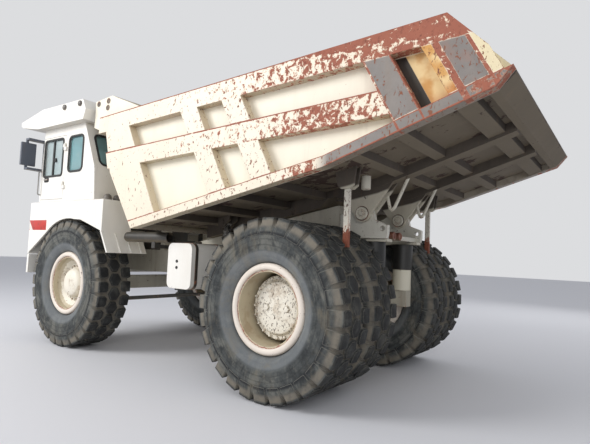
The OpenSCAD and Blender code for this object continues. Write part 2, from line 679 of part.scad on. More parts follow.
// Where the front wall's inner face meets a line that runs at a height over the bottom line
function meet_x(up) = nose_x + (up * nose_lean - front_t - seat_gap) / (1 + nose_lean * tan(floor_rise));
function on_low(x, up) = [x, low_z(x) + up];
module body_floor() {
  inner = sheet_y - sheet_t;
  top = floor_up + floor_t;
  in_frame() color(rust) slab_y([on_low(meet_x(floor_up), floor_up), on_low(kick_x, floor_up),
    on_low(lip_x, floor_up), on_low(lip_x, top), on_low(kick_x, top), on_low(meet_x(top), top)], -inner, inner);
}
// Posts: place at the reference height and width
post_z = 3030;
posts = [[1110, 330], [320, 330], [-1720, 310], [-2480, 560]];
front_post_x = 2440;
mid_end_x = -1600;
function post_x(x, z) = x + (z - post_z) * tan(post_lean);
// Front end of the top rail, and the lower front corner of the canopy's side
top_end_x = 3500;
canopy_low_z = 3560;
// A side's sheet with the side of the canopy, seen from the side
sheet_outline = [[nose_x, nose_z], [kick_x, low_z(kick_x)], [tail_x, low_z(tail_x)], [lip_x, lip_z],
  [corner_x, top_z(corner_x)], [2500, top_z(2500)], [3400, canopy_z], [canopy_x, canopy_z - 40],
  [canopy_x, canopy_low_z + 120], [front_top_x + 160, canopy_low_z], [front_x(canopy_low_z), canopy_low_z],
  [knee_x, knee_z]];
function sloped_rail(x0, x1, drop, h) = [[x0, top_z(x0) - drop], [x1, top_z(x1) - drop],
  [x1, top_z(x1) - drop - h], [x0, top_z(x0) - drop - h]];
// Rails and posts reach a little past the sheet's edges, and the middle rail past its front edge
rib_step = 4;
rail_past = 60;
rib_outline = [on_low(nose_x + rail_past, -rib_step), on_low(kick_x, -rib_step), on_low(tail_x, -rib_step),
  [lip_x - rib_step, lip_z - 2], [corner_x - rib_step, top_z(corner_x) + rib_step],
  [top_end_x, top_z(top_end_x) + rib_step], [top_end_x, canopy_low_z - 100],
  [front_x(canopy_low_z - 100) + rail_past, canopy_low_z - 100], [knee_x + rail_past, knee_z]];
module side_ribs() {
  low = nose_z - 100;
  high = rim_z + 60;
  intersection() {
    union() {
      polygon(bent_band(nose_x + rib_step, lip_x - 200, -50, low_rail_h + 50));
      polygon(sloped_rail(top_end_x + 50, lip_x - 200, -50, top_rail_h + 50));
      polygon(sloped_rail(top_end_x, mid_end_x, mid_drop, mid_rail_h));
      for (p = posts) post(p[0] - p[1] / 2, p[0] + p[1] / 2);
      polygon([[post_x(front_post_x, low), low], [front_x(low) + rib_step, low], [knee_x + rib_step, knee_z],
        [front_x(high) + rib_step, high], [post_x(front_post_x, high), high]]);
    }
    polygon(rib_outline);
  }
}
module post(x0, x1) {
  low = nose_z - 100;
  polygon([[post_x(x0, low), low], [post_x(x1, low), low], [post_x(x1, canopy_z), canopy_z],
    [post_x(x0, canopy_z), canopy_z]]);
}
module stand_up(y0, y1) { translate([0, y1, 0]) rotate([90, 0, 0]) linear_extrude(y1 - y0) children(); }
module body_side() {
  union() {
    stand_up(sheet_y - sheet_t, sheet_y) polygon(sheet_outline);
    stand_up(sheet_y - sheet_t / 2, hw) side_ribs();
  }
}
module body_side_left() { in_frame() color(cream) body_side(); }
module body_side_right() { in_frame() color(cream) mirror([0, 1, 0]) body_side(); }
module body_front() {
  inner = sheet_y - sheet_t;
  t = front_t;
  in_frame() color(cream) union() {
    slab_y([[nose_x, nose_z], [knee_x, knee_z], [front_top_x, rim_z], [front_top_x + 80, canopy_z - 20],
      [front_top_x + 80 - t, canopy_z - 20], [front_top_x - t, rim_z], [knee_x - t, knee_z], [nose_x - t, nose_z]],
      -inner, inner);
    slab_y([[front_top_x, canopy_z - 30], [front_top_x, canopy_z - 5], [canopy_x, canopy_z - 40],
      [canopy_x, canopy_z - 65]], -inner, inner);
  }
}
beam_top = floor_up - seat_gap;
module body_beams() {
  inner = sheet_y - sheet_t;
  ribs = [1900, 1300, 700, 100, -1050, -1570];
  in_frame() color(cream) difference() {
    union() {
      for (x = ribs) slab_y(band(x + 60, x - 60, 10, beam_top - 10), -inner, inner);
      slab_y(band(-2120, -2300, 10, beam_top - 10), -inner, inner);
      slab_y([[tail_x + 80, low_z(tail_x + 80)], [tail_x, low_z(tail_x)], on_low(lip_x + 5, beam_top),
        on_low(tail_x + 80, beam_top)], -inner, inner);
      both_sides() {
        slab_y([[2350, low_z(2350) - sill_drop], [tail_top_x + 250, low_z(tail_top_x + 250) - sill_drop],
          [tail_top_x + 150, low_z(tail_top_x + 150)], [tail_top_x, low_z(tail_top_x)],
          on_low(tail_top_x, beam_top), on_low(2350, beam_top)], sill_y[0], sill_y[1]);
        slab_y(bent_band(tail_top_x, tail_x + 80, -30, beam_top + 30), sill_y[0], sill_y[1]);
        ears();
        hoist_ears();
        ejector_bracket();
      }
    }
    translate([pin_x, 0, pin_z]) rod_y(pin_r + run_gap, -hinge_y * 2, hinge_y * 2);
  }
}
// Hinge ears: two plates on each side, with a lug of the frame between them
module ears() {
  outline = concat([[pin_x - 460, low_z(pin_x - 460)], [pin_x - 120, pin_z]],
    arc(pin_x, pin_z, 115, 200, 340), [[pin_x + 120, pin_z], [pin_x + 330, low_z(pin_x + 330)]]);
  for (y = [hinge_y - lug_t / 2 - move_gap - ear_t, hinge_y + lug_t / 2 + move_gap])
    slab_y(outline, y, y + ear_t);
}
// Ears in which the hoists push, on the outside of the sills
module hoist_ears() {
  x0 = hoist_eye_x - 160;
  x1 = hoist_eye_x + 160;
  outline = concat([on_low(x0, beam_top), on_low(x0, 20)], arc(hoist_eye_x, hoist_eye_z, 85, 190, 350),
    [on_low(x1, 20), on_low(x1, beam_top)]);
  for (k = [-1, 1]) {
    y = hoist_y + k * (hoist_eye_half + move_gap + 20);
    slab_y(outline, y - 20, y + 20);
    translate([hoist_eye_x, 0, hoist_eye_z]) rod_y(hoist_pin_r + 8, y - 20 + (k < 0 ? -14 : 0), y + 20 + (k < 0 ? 0 : 14));
  }
}

// Rock ejectors: bars that hang between the twin tyres, each on a pin between two plates

ejector_x = kick_x + 70;
ejector_z = low_z(ejector_x) - 60;
ejector_half = 30;
ejector_len = 765;
ejector_pin_r = 25;
module ejector(side) {
  in_frame() translate([ejector_x, side * twin_y, ejector_z]) color(cream) difference() {
    union() {
      rod_y(50, -ejector_half, ejector_half);
      box([-35, -25, -ejector_len], [35, 25, 0]);
    }
    rod_y(ejector_pin_r + run_gap, -ejector_half - 1, ejector_half + 1);
  }
}
module ejector_bracket() {
  gap = ejector_half + move_gap;
  translate([ejector_x, twin_y, 0]) {
    for (y = [-gap - 30, gap])
      slab_y([[-140, low_z(ejector_x - 140) + beam_top], [-110, ejector_z - 30], [-60, ejector_z - 70],
        [60, ejector_z - 70], [110, ejector_z - 30], [140, low_z(ejector_x + 140) + beam_top],
        [kick_x - ejector_x, low_z(kick_x) + beam_top]], y, y + 30);
    translate([0, 0, ejector_z]) rod_y(ejector_pin_r, -gap - 10, gap + 10);
  }
}

// Hoists: a barrel, one telescopic stage and a rod, drawn along the line between the two pins

hoist_eye_half = 55;
hoist_eye_r = 85;
hoist_len = norm([hoist_eye_x - hoist_base_x, hoist_eye_z - hoist_base_z]);
hoist_lean = atan2(hoist_eye_x - hoist_base_x, hoist_eye_z - hoist_base_z);
stage_r = hoist_r - 22;
hoist_rod_r = stage_r - 22;
module hoist_place(side) {
  in_frame() translate([hoist_base_x, side * hoist_y, hoist_base_z]) rotate([0, hoist_lean, 0]) children();
}
module hoist_barrel() {
  color(grey) difference() {
    union() {
      rod_y(hoist_eye_r, -hoist_eye_half, hoist_eye_half);
      cylinder(r = hoist_eye_half - 5, h = 100);
      translate([0, 0, 95]) cylinder(r = hoist_r, h = hoist_len - 220 - 95);
    }
    rod_y(hoist_pin_r + run_gap, -hoist_eye_half - 1, hoist_eye_half + 1);
    translate([0, 0, 110]) cylinder(r = stage_r + 0.5, h = hoist_len);
  }
}
module hoist_stage() {
  color("silver") difference() {
    translate([0, 0, 115]) cylinder(r = stage_r, h = hoist_len - 190 - 115);
    translate([0, 0, 125]) cylinder(r = hoist_rod_r + 0.5, h = hoist_len);
  }
}
module hoist_rod() {
  color("silver") difference() {
    union() {
      translate([0, 0, 130]) cylinder(r = hoist_rod_r, h = hoist_len - 120 - 130);
      cylinder(r = hoist_eye_half - 5, h = hoist_len);
      translate([0, 0, hoist_len]) rod_y(75, -hoist_eye_half, hoist_eye_half);
    }
    translate([0, 0, hoist_len]) rod_y(hoist_pin_r + 5, -hoist_eye_half - 1, hoist_eye_half + 1);
    translate([0, 0, -1]) cylinder(r = hoist_r, h = 131);
  }
}

frame();
hoist_brackets();
rear_brackets();
bumper();
grille();
headlamps();
engine();
hood();
deck_left();
deck_right();
cab_shell();
cab_roof();
cab_glass();
cab_seat();
mirrors();
fuel_tank();
oil_tank();
exhaust_pipe();
air_cleaners();
handrails();
rear_axle();
front_axle();
struts();
driveshaft();
knuckle(1);  // knuckle_left
knuckle(-1);  // knuckle_right
tie_rod();
front_place(1) tyre();  // front_tyre_left
front_place(-1) tyre();  // front_tyre_right
front_place(1) front_rim();  // front_rim_left
front_place(-1) front_rim();  // front_rim_right
rear_place(1) rear_tyres();  // rear_tyres_left
rear_place(-1) rear_tyres();  // rear_tyres_right
rear_place(1) rear_rims();  // rear_rims_left
rear_place(-1) rear_rims();  // rear_rims_right
door();
door_glass();
body_floor();
body_side_left();
body_side_right();
body_front();
body_beams();
ejector(1);  // ejector_left
ejector(-1);  // ejector_right
hoist_place(1) hoist_barrel();  // hoist_barrel_left
hoist_place(-1) hoist_barrel();  // hoist_barrel_right
hoist_place(1) hoist_stage();  // hoist_stage_left
hoist_place(-1) hoist_stage();  // hoist_stage_right
hoist_place(1) hoist_rod();  // hoist_rod_left
hoist_place(-1) hoist_rod();  // hoist_rod_right
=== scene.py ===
import math

import bpy
from mathutils import Matrix, Vector


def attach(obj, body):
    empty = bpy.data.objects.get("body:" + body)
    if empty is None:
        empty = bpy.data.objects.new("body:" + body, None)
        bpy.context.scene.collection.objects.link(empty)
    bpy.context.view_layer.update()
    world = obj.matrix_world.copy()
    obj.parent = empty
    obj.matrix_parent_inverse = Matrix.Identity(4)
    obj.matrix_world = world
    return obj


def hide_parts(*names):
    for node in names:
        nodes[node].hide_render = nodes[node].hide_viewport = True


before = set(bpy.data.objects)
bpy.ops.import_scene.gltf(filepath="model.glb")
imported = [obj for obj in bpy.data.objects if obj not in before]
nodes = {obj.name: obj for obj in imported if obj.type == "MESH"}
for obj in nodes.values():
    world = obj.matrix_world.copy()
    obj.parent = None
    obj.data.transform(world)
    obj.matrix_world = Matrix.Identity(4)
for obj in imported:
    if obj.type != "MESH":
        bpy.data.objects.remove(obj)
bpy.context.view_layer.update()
bpy.context.scene.view_settings.view_transform = "Standard"

# The camera: it stands on the floor behind the left rear wheels, at eye height, and looks slightly
# up along the truck's left side. It has the photograph's place, angle and lens.
eye = Vector((-5.183, 6.349, 1.707))
heading = math.radians(-54.57)
lift = math.radians(3.97)
roll = math.radians(2.4)
bpy.ops.object.camera_add(location=eye)
camera = bpy.context.active_object
camera.name = "camera"
camera.data.sensor_width = 36
camera.data.lens = 29.05
camera.matrix_world = (Matrix.Translation(eye)
                       @ Matrix.Rotation(heading - math.pi / 2, 4, "Z")
                       @ Matrix.Rotation(math.pi / 2 + lift, 4, "X")
                       @ Matrix.Rotation(roll, 4, "Z"))
bpy.context.scene.camera = camera


# The studio: a pale floor, a pale surround that only the camera and reflections see, and soft
# light from the front left, from behind the camera and from the far side.
def tint(code):
    """A written colour such as #c0ffee as the linear values that a shader takes."""
    parts = [int(code[i:i + 2], 16) / 255 for i in (1, 3, 5)]
    return tuple(p / 12.92 if p <= 0.04045 else ((p + 0.055) / 1.055) ** 2.4 for p in parts) + (1,)


def add(tree, kind, props=(), **inputs):
    """One shader node. An input named i0, i1 and so on is meant by its place."""
    made = tree.nodes.new("ShaderNode" + kind)
    for name, value in dict(props).items():
        setattr(made, name, value)
    for name, value in inputs.items():
        by_place = name[0] == "i" and name[1:].isdigit()
        socket = made.inputs[int(name[1:])] if by_place else made.inputs[name.replace("_", " ")]
        if isinstance(value, bpy.types.NodeSocket):
            tree.links.new(value, socket)
        else:
            socket.default_value = value
    return made


def calc(tree, operation, a, b=0.0, c=0.0):
    """One step of arithmetic in a shader."""
    return add(tree, "Math", {"operation": operation}, i0=a, i1=b, i2=c).outputs[0]


def most(tree, first, *others):
    """The largest of all."""
    for other in others:
        first = calc(tree, "MAXIMUM", first, other)
    return first


def new_material(name):
    """A material with a Principled shader, its tree and that shader."""
    made = bpy.data.materials.new(name)
    made.use_nodes = True
    return made, made.node_tree, made.node_tree.nodes["Principled BSDF"]


world = bpy.data.worlds.new("studio")
bpy.context.scene.world = world
world.use_nodes = True
sky = world.node_tree
path = add(sky, "LightPath")
seen = most(sky, path.outputs["Is Camera Ray"], path.outputs["Is Glossy Ray"],
            path.outputs["Is Transmission Ray"])
glow = add(sky, "Background", Color=tint("#f4f7ff"), Strength=0.5)
backdrop = add(sky, "Background", Color=tint("#dcdddf"), Strength=1.0)
choice = add(sky, "MixShader", i0=seen, i1=glow.outputs[0], i2=backdrop.outputs[0])
sky.links.new(choice.outputs[0], sky.nodes["World Output"].inputs["Surface"])

floor_size, floor_drop = 120, 0.002
bpy.ops.mesh.primitive_plane_add(size=floor_size, location=(0, 0, -floor_drop))
floor = bpy.context.active_object
floor.name = "floor"
floor_look, tree, shader = new_material("floor")
shader.inputs["Base Color"].default_value = tint("#e2e2e5")
shader.inputs["Roughness"].default_value = 0.8
floor.data.materials.append(floor_look)

lit_point = Vector((0, 0, 1.5))
# name, place, power in watts, size in metres
for name, place, power, size in (("window", (9, 13, 9), 1750, 8), ("fill", (-9, 10, 6), 330, 7),
                                 ("far_side", (-4, -13, 8), 300, 9)):
    bpy.ops.object.light_add(type="AREA", location=place)
    lamp = bpy.context.active_object
    lamp.name = name
    lamp.data.energy = power
    lamp.data.shape = "DISK"
    lamp.data.size = size
    lamp.rotation_euler = (lit_point - Vector(place)).to_track_quat("-Z", "Y").to_euler()


# Body sides: welded box rails and leaning posts on a recessed sheet. The cream paint is chipped all
# over, and towards the tail the rails are bare rust, with grey repair plates on the last two posts.
def times(tree, first, *others):
    """The product of all, such as a pattern and the masks that keep it in its place."""
    for other in others:
        first = calc(tree, "MULTIPLY", first, other)
    return first


def plus(tree, first, *others):
    """The sum of all."""
    for other in others:
        first = calc(tree, "ADD", first, other)
    return first


def fade(tree, value, start, end, low=0.0, high=1.0):
    """A smooth step from low to high while value goes from start to end."""
    return add(tree, "MapRange", {"interpolation_type": "SMOOTHSTEP"}, i0=value, i1=start, i2=end,
               i3=low, i4=high).outputs[0]


def between(tree, value, low, high, soft=0.004):
    """One where value lies between low and high, and zero elsewhere."""
    return times(tree, fade(tree, value, low - soft, low + soft),
                 fade(tree, value, high + soft, high - soft))


def colours(tree, share, first, second):
    """The first colour where share is 0 and the second where it is 1."""
    return add(tree, "Mix", {"data_type": "RGBA"}, i0=share, i6=first, i7=second).outputs[2]


def spot(tree):
    """The object's own coordinates, which are metres in the scene."""
    return add(tree, "TexCoord").outputs["Object"]


def here(tree):
    """The object's own x, y and z."""
    return add(tree, "SeparateXYZ", i0=spot(tree)).outputs


def grain(tree, scale, detail=4.0, roughness=0.6, stretch=(1, 1, 1), distortion=0.0, shift=0.0):
    """Noise in the object's own coordinates."""
    place = add(tree, "Mapping", Vector=spot(tree), Scale=stretch, Location=(shift, shift, shift))
    return add(tree, "TexNoise", Vector=place.outputs[0], Scale=scale, Detail=detail, Roughness=roughness,
               Distortion=distortion).outputs[0]


def worn_edge(tree, reach):
    """One on the outer edges of a plate, from how far a rounded edge's normal leans away."""
    rounded_normal = add(tree, "Bevel", {"samples": 4}, Radius=reach).outputs[0]
    true_normal = add(tree, "NewGeometry").outputs["Normal"]
    same = add(tree, "VectorMath", {"operation": "DOT_PRODUCT"}, i0=rounded_normal, i1=true_normal)
    return fade(tree, same.outputs["Value"], 0.99, 0.86)


def link_looks(tree, shader, colour, roughness=None, height=None, strength=0.0, depth=0.0):
    """Sockets for a shader's colour, its roughness and the height of its bumps, which are depth deep."""
    tree.links.new(colour, shader.inputs["Base Color"])
    if roughness is not None:
        tree.links.new(roughness, shader.inputs["Roughness"])
    if height is not None:
        bump = add(tree, "Bump", Strength=strength, Distance=depth, Height=height)
        tree.links.new(bump.outputs[0], shader.inputs["Normal"])


def old_paint(name, coat, rust=0.1, chips=0.2, grime=0.25, edge=0.25, coat_of=None, size=1.0,
              gloss=0.45, rust_tints=("#a4624a", "#7a4433", "#5c3328"), chip_tint="#5e4034",
              dust="#b39a78", patch=2.1, fleck=17, stain=0.4):
    """Paint over steel. rust and chips run from 0, none, to 1, all over; edge adds to both on worn
    edges. rust, chips and coat_of may be functions that give a socket. patch and fleck are how many
    rust patches and chips go on a metre, where a smaller size makes all of it finer."""
    made, tree, shader = new_material(name)
    wear = worn_edge(tree, 0.012)
    # rust: noise that passes a threshold, which wear brings down
    patchy = grain(tree, patch / size, 12, 0.7, distortion=0.4)
    lean = calc(tree, "MULTIPLY_ADD", wear, edge, rust(tree) if callable(rust) else rust)
    lack = plus(tree, patchy, calc(tree, "MULTIPLY_ADD", lean, 0.5, -0.75))
    bare = fade(tree, lack, -0.006, 0.012)
    # chips: the same with finer noise
    flake = grain(tree, fleck / size, 5, 0.62, (1, 1, 0.55), 0.6, 3.0)
    lean = calc(tree, "MULTIPLY_ADD", wear, edge, chips(tree) if callable(chips) else chips)
    flake = plus(tree, flake, calc(tree, "MULTIPLY_ADD", lean, 0.5, -0.75))
    flake = fade(tree, flake, -0.004, 0.01)
    steel = colours(tree, grain(tree, 5 / size, 8, 0.7), tint(rust_tints[0]), tint(rust_tints[1]))
    steel = colours(tree, fade(tree, grain(tree, 30 / size, 4, 0.7), 0.52, 0.7), steel, tint(rust_tints[2]))
    # the coat under dust, upright streaks, painted shade on faces that look down, and a stain round the rust
    base = coat_of(tree) if coat_of else tint(coat)
    dirt = grain(tree, 1.3, 9, 0.65, (1.6, 1.6, 0.5))
    base = colours(tree, fade(tree, dirt, 0.35, 0.85, 0.0, grime * 1.6), base, tint(dust))
    streak = grain(tree, 5.5, 5, 0.6, (1.5, 1.5, 0.12), 0.2, 7.0)
    base = colours(tree, fade(tree, streak, 0.56, 0.78, 0.0, grime), base, tint("#8a6a50"))
    # painted shade: faces that look down are mixed towards a darker tan
    down = add(tree, "SeparateXYZ", i0=add(tree, "TexCoord").outputs["Normal"]).outputs[2]
    base = colours(tree, fade(tree, down, -0.2, -0.9, 0.0, 0.45), base, tint("#8d7f66"))
    base = colours(tree, fade(tree, lack, -0.05, 0.0, 0.0, stain), base, tint("#d9a684"))
    base = colours(tree, flake, base, tint(chip_tint))
    # the paint stands proud of the steel, which is pitted
    off = most(tree, bare, flake)
    pitted = times(tree, grain(tree, 90 / size, 3, 0.7), bare, 0.5)
    link_looks(tree, shader, colours(tree, bare, base, steel), fade(tree, off, 0, 1, gloss, 0.88),
               calc(tree, "SUBTRACT", pitted, off), 0.55, 0.003)
    return made


# Faces that meet at more than this have an edge between them
corner_angle = math.radians(35)


def dress(name, material, edge=0.006):
    """A CAD node in its finish. With an edge, its triangles are joined into faces and its edges broken."""
    piece = nodes[name]
    piece.data.materials.clear()
    piece.data.materials.append(material)
    piece.modifiers.new("joined", "WELD").merge_threshold = 0.0002
    if edge:
        flat = piece.modifiers.new("flat", "DECIMATE")
        flat.decimate_type = "DISSOLVE"
        flat.angle_limit = math.radians(0.6)
        broken = piece.modifiers.new("edges", "BEVEL")
        broken.width = edge
        broken.segments = 2
        broken.limit_method = "ANGLE"
        broken.angle_limit = corner_angle
        piece.modifiers.new("even", "WEIGHTED_NORMAL")


# Places on the truck are in metres ahead of the rear axle, which lies behind the scene's origin.
axle_to_middle = 1.72
# A side's lines: the bottom rises from the nose to the kick and steeper behind it, the top falls
# towards the front, and the posts lean back. Each slope is a rise or a run per metre.
floor_slope, tail_slope, top_slope, post_slope = 0.20345, 0.33266, 0.04541, 0.5317
kick_x, nose_x, nose_z, front_top_x, rim_z, post_z = -0.75, 2.52, 2.0, 3.37, 3.773, 3.03
# Distance from the truck's middle to the inner face, to the rails' face and to the low rail's face
inner_y, rail_y, low_rail_y = 1.94, 1.955, 2.07
# Depth of the top rail below the top line, and height of the low rail over the bottom line
top_depth, low_height = 0.25, 0.125
# Along the leaning posts, from and to: grey plates, the amber recess, its slot of painted shade, the tail
# post
front_plate, rear_plate = (-1.865, -1.585), (-2.62, -2.375)
recess, shaded_slot, tail_post = (-2.3, -1.99), (-1.99, -1.85), -2.66


def side_places(tree):
    """Where a point of a side lies: its x, its height over the bottom line, its drop from the
    top line, its place along the leaning posts, and its distance from the truck's middle."""
    x, y, z = here(tree)
    x = plus(tree, x, axle_to_middle)
    ahead = calc(tree, "SUBTRACT", nose_x, calc(tree, "MAXIMUM", x, kick_x))
    behind = calc(tree, "MAXIMUM", calc(tree, "SUBTRACT", kick_x, x), 0)
    low = calc(tree, "MULTIPLY_ADD", ahead, floor_slope, nose_z)
    low = calc(tree, "MULTIPLY_ADD", behind, tail_slope, low)
    top = calc(tree, "MULTIPLY_ADD", calc(tree, "SUBTRACT", front_top_x, x), top_slope, rim_z)
    along = calc(tree, "MULTIPLY_ADD", calc(tree, "SUBTRACT", post_z, z), post_slope, x)
    return x, calc(tree, "SUBTRACT", z, low), calc(tree, "SUBTRACT", top, z), along, calc(tree, "ABSOLUTE", y)


def on_rails(tree, out):
    """One on rails and posts, and zero on the sheet between them."""
    return fade(tree, out, rail_y - 0.002, rail_y + 0.002)


def side_rust(tree):
    """How rusty a side is: a solid crust along the top edge that grows towards the tail, flakes on
    the rails below it, and thin lines along the edges of rails and repair plates."""
    x, rise, drop, along, out = side_places(tree)
    behind = fade(tree, x, -0.95, -1.05)
    below_top = fade(tree, drop, top_depth, top_depth + 0.01)
    waves = times(tree, grain(tree, 2.2, 3, 0.5, shift=9.0), 0.16)
    crust = plus(tree, fade(tree, x, 0.3, -2.3, -0.1, 0.17), waves)
    solid = fade(tree, calc(tree, "SUBTRACT", drop, crust), 0.05, -0.04, 0.0, 0.68)
    under = times(tree, fade(tree, drop, 0.15, 0.21), fade(tree, x, -0.8, -1.5, 0.0, 0.64))
    edge = fade(tree, drop, 0.016, 0.006, 0.0, 0.8)
    top = most(tree, solid, fade(tree, x, 2.2, -0.9, 0.18, 0.5), under, edge)
    top = times(tree, top, fade(tree, drop, top_depth + 0.02, top_depth))
    middle = plus(tree, fade(tree, x, 2.2, 0.2, 0.18, 0.36), fade(tree, x, 0.2, -0.4, 0.0, 0.16))
    middle = calc(tree, "SUBTRACT", middle, fade(tree, x, -0.8, -1.3, 0.0, 0.1))
    middle = most(tree, middle, fade(tree, drop, 0.618, 0.606, 0.0, 0.75))
    plated = times(tree, between(tree, along, -1.88, -1.56), below_top, behind)
    middle = times(tree, middle, between(tree, drop, 0.59, 0.865), fade(tree, x, -1.65, -1.6),
                   calc(tree, "SUBTRACT", 1.0, plated))
    low = plus(tree, fade(tree, x, 0.2, -0.5, 0.12, 0.5), fade(tree, x, -0.6, -0.8, 0.0, -0.36),
               fade(tree, x, -2.15, -2.4, 0.0, 0.4))
    lines = most(tree, fade(tree, rise, 0.104, 0.114),
                 times(tree, fade(tree, rise, 0.016, 0.008), fade(tree, x, -0.6, -1.0)))
    lines = times(tree, lines, fade(tree, out, low_rail_y - 0.01, low_rail_y + 0.005), 0.72)
    low = times(tree, most(tree, low, lines), fade(tree, rise, low_height + 0.01, low_height - 0.005))
    frames = plus(tree, between(tree, along, rear_plate[1], recess[0]),
                  between(tree, along, tail_post, rear_plate[0]), between(tree, along, -1.59, -1.56),
                  between(tree, along, -1.885, -1.86))
    frames = times(tree, frames, behind, below_top, 0.62)
    tail = times(tree, below_top, fade(tree, along, tail_post, -2.95, 0.0, 0.62), behind)
    return most(tree, times(tree, most(tree, top, middle, low, frames, tail), on_rails(tree, out)), 0.06)


def side_chips(tree):
    """Small brown chips, most of them on rails and posts ahead of the repair plates."""
    x, rise, drop, along, out = side_places(tree)
    return calc(tree, "MULTIPLY_ADD", on_rails(tree, out), fade(tree, x, 2.6, 0.6, 0.14, 0.22), 0.06)


def side_coat(tree):
    """Cream on rails and sheets, bare grey repair plates and an amber, rusting recess at the tail, with
    painted shade: tan on the side faces of rails and posts and near-black in the slot behind a post;
    the inner face is scoured down to grey steel towards the floor."""
    x, rise, drop, along, out = side_places(tree)
    rail = on_rails(tree, out)
    base = colours(tree, rail, tint("#f3ecd8"), tint("#f1e5cf"))
    # painted shade: the side faces of rails and posts, behind their outer faces, are mixed towards tan
    side_face_shade = fade(tree, out, low_rail_y + 0.005, low_rail_y - 0.005, 0.0, 0.4)
    base = colours(tree, times(tree, side_face_shade, rail), base, tint("#c2ae84"))
    panels_behind = times(tree, fade(tree, drop, top_depth, top_depth + 0.02),
                          fade(tree, rise, low_height, low_height + 0.01), fade(tree, x, -0.9, -1.0))
    amber = colours(tree, fade(tree, grain(tree, 3, 4, 0.5), 0.45, 0.6), tint("#eccf98"), tint("#d09850"))
    amber = colours(tree, fade(tree, rise, 0.3, 0.13, 0.0, 0.6), amber, tint("#b9682c"))
    base = colours(tree, times(tree, panels_behind, between(tree, along, *recess)), base, amber)
    # painted shade: the sheet in the slot behind a post is coloured nearly black
    dark = times(tree, calc(tree, "SUBTRACT", 1.0, rail), panels_behind, between(tree, along, *shaded_slot))
    base = colours(tree, dark, base, tint("#15110f"))
    yellowed = times(tree, panels_behind, fade(tree, along, tail_post + 0.01, tail_post - 0.01, 0.0, 0.6))
    base = colours(tree, yellowed, base, tint("#e0cf9c"))
    plates = plus(tree, between(tree, along, *front_plate), between(tree, along, *rear_plate))
    low_plate = fade(tree, rise, low_height - 0.003, low_height - 0.013)
    low_plate = times(tree, low_plate, fade(tree, x, -0.62, -0.85))
    plates = most(tree, times(tree, plates, panels_behind, rail), low_plate)
    steel = colours(tree, grain(tree, 4, 8, 0.7), tint("#6a6561"), tint("#928b86"))
    patches = grain(tree, 2.5, 6, 0.6, shift=4.0)
    steel = colours(tree, fade(tree, patches, 0.55, 0.7, 0.0, 0.5), steel, tint("#9a7466"))
    scoured = colours(tree, fade(tree, patches, 0.42, 0.6), tint("#a2998a"), tint("#776d61"))
    inner = colours(tree, fade(tree, rise, 1.3, 0.25, 0.12, 0.85), tint("#ddd3bc"), scoured)
    inside = fade(tree, out, inner_y + 0.003, inner_y - 0.002)
    return colours(tree, inside, colours(tree, plates, base, steel), inner)


body_look = old_paint("body_paint", "#e6e1cb", side_rust, side_chips, 0.1, 0.22, side_coat,
                      rust_tints=("#ad6c54", "#96594a", "#7d4a3c"), chip_tint="#8a5a45",
                      patch=12, fleck=30, stain=0.6)
for name in ("body_side_left", "body_side_right"):
    dress(name, body_look, 0.008)

# Front wall and canopy of the body: a thick plate welded between the sides, bent forward at the top
# over the cab. It wears the same cream paint, with fewer chips and no bare rails.
front_look = old_paint("front_paint", "#e8dfca", 0.2, 0.2, 0.3, 0.3, patch=6, fleck=26, chip_tint="#8a5a45")
dress("body_front", front_look)

# Floor of the body: a thick bare plate, scoured by the rock inside and dull brown underneath, its
# colour darkened as painted shade under the body. It is bent at the kick and welded to both sides.
# painted shade: the plate's dark brown also stands in for the shade under the body
floor_plate = old_paint("floor_plate", "#4d443d", 0.4, 0.12, 0.45, 0.1, gloss=0.75, dust="#6a6054", stain=0.0,
                        rust_tints=("#4f3b30", "#40302a", "#332823"))
dress("body_floor", floor_plate, 0.004)


# Beams under the floor: ribs across and two deep sills along, all under a coat of dust and dried mud
# with rust in the pockets, coloured darker than that as painted shade under the body. The hinge ears
# below the sills kept their cream paint.
def under_coat(tree):
    """Mud brown darkened as painted shade under the body, and cream on the ears."""
    x, rise, drop, along, out = side_places(tree)
    ears = times(tree, fade(tree, rise, -0.09, -0.12), between(tree, x, -1.2, 0.1, 0.05))
    return colours(tree, ears, tint("#4f473f"), tint("#cdc6b4"))


under_look = old_paint("under_paint", "#4f473f", 0.22, 0.12, 0.3, 0.0, under_coat, gloss=0.8, dust="#6f6558",
                       stain=0.0, rust_tints=("#4c3a30", "#3d2f27", "#2f2823"), chip_tint="#3a322c")
dress("body_beams", under_look, 0)


# Tyres: big block-tread rubber, nearly black on the lugs, with pale dust in the grooves, dried mud
# smears down the sidewalls and a rubbed grey ring beside the rim. Each side has 28 lugs that run over
# the shoulder, and between the two rows lies a row of six-sided blocks.
def at(x):
    """The scene's x of a place that is given in metres ahead of the rear axle."""
    return x - axle_to_middle


wheel_z = 1.07
front_axle_x, rear_axle_x = at(4.46), at(0)
front_wheel_y, inner_wheel_y, outer_wheel_y = 1.657, 0.996, 1.746
sides = ((1, "left"), (-1, "right"))


def wheel_radius(tree, axle_x):
    """Distance of a point from the axis of the wheels on an axle."""
    x, y, z = here(tree)
    ahead = calc(tree, "SUBTRACT", x, axle_x)
    up = calc(tree, "SUBTRACT", z, wheel_z)
    return calc(tree, "SQRT", calc(tree, "MULTIPLY_ADD", up, up, times(tree, ahead, ahead)))


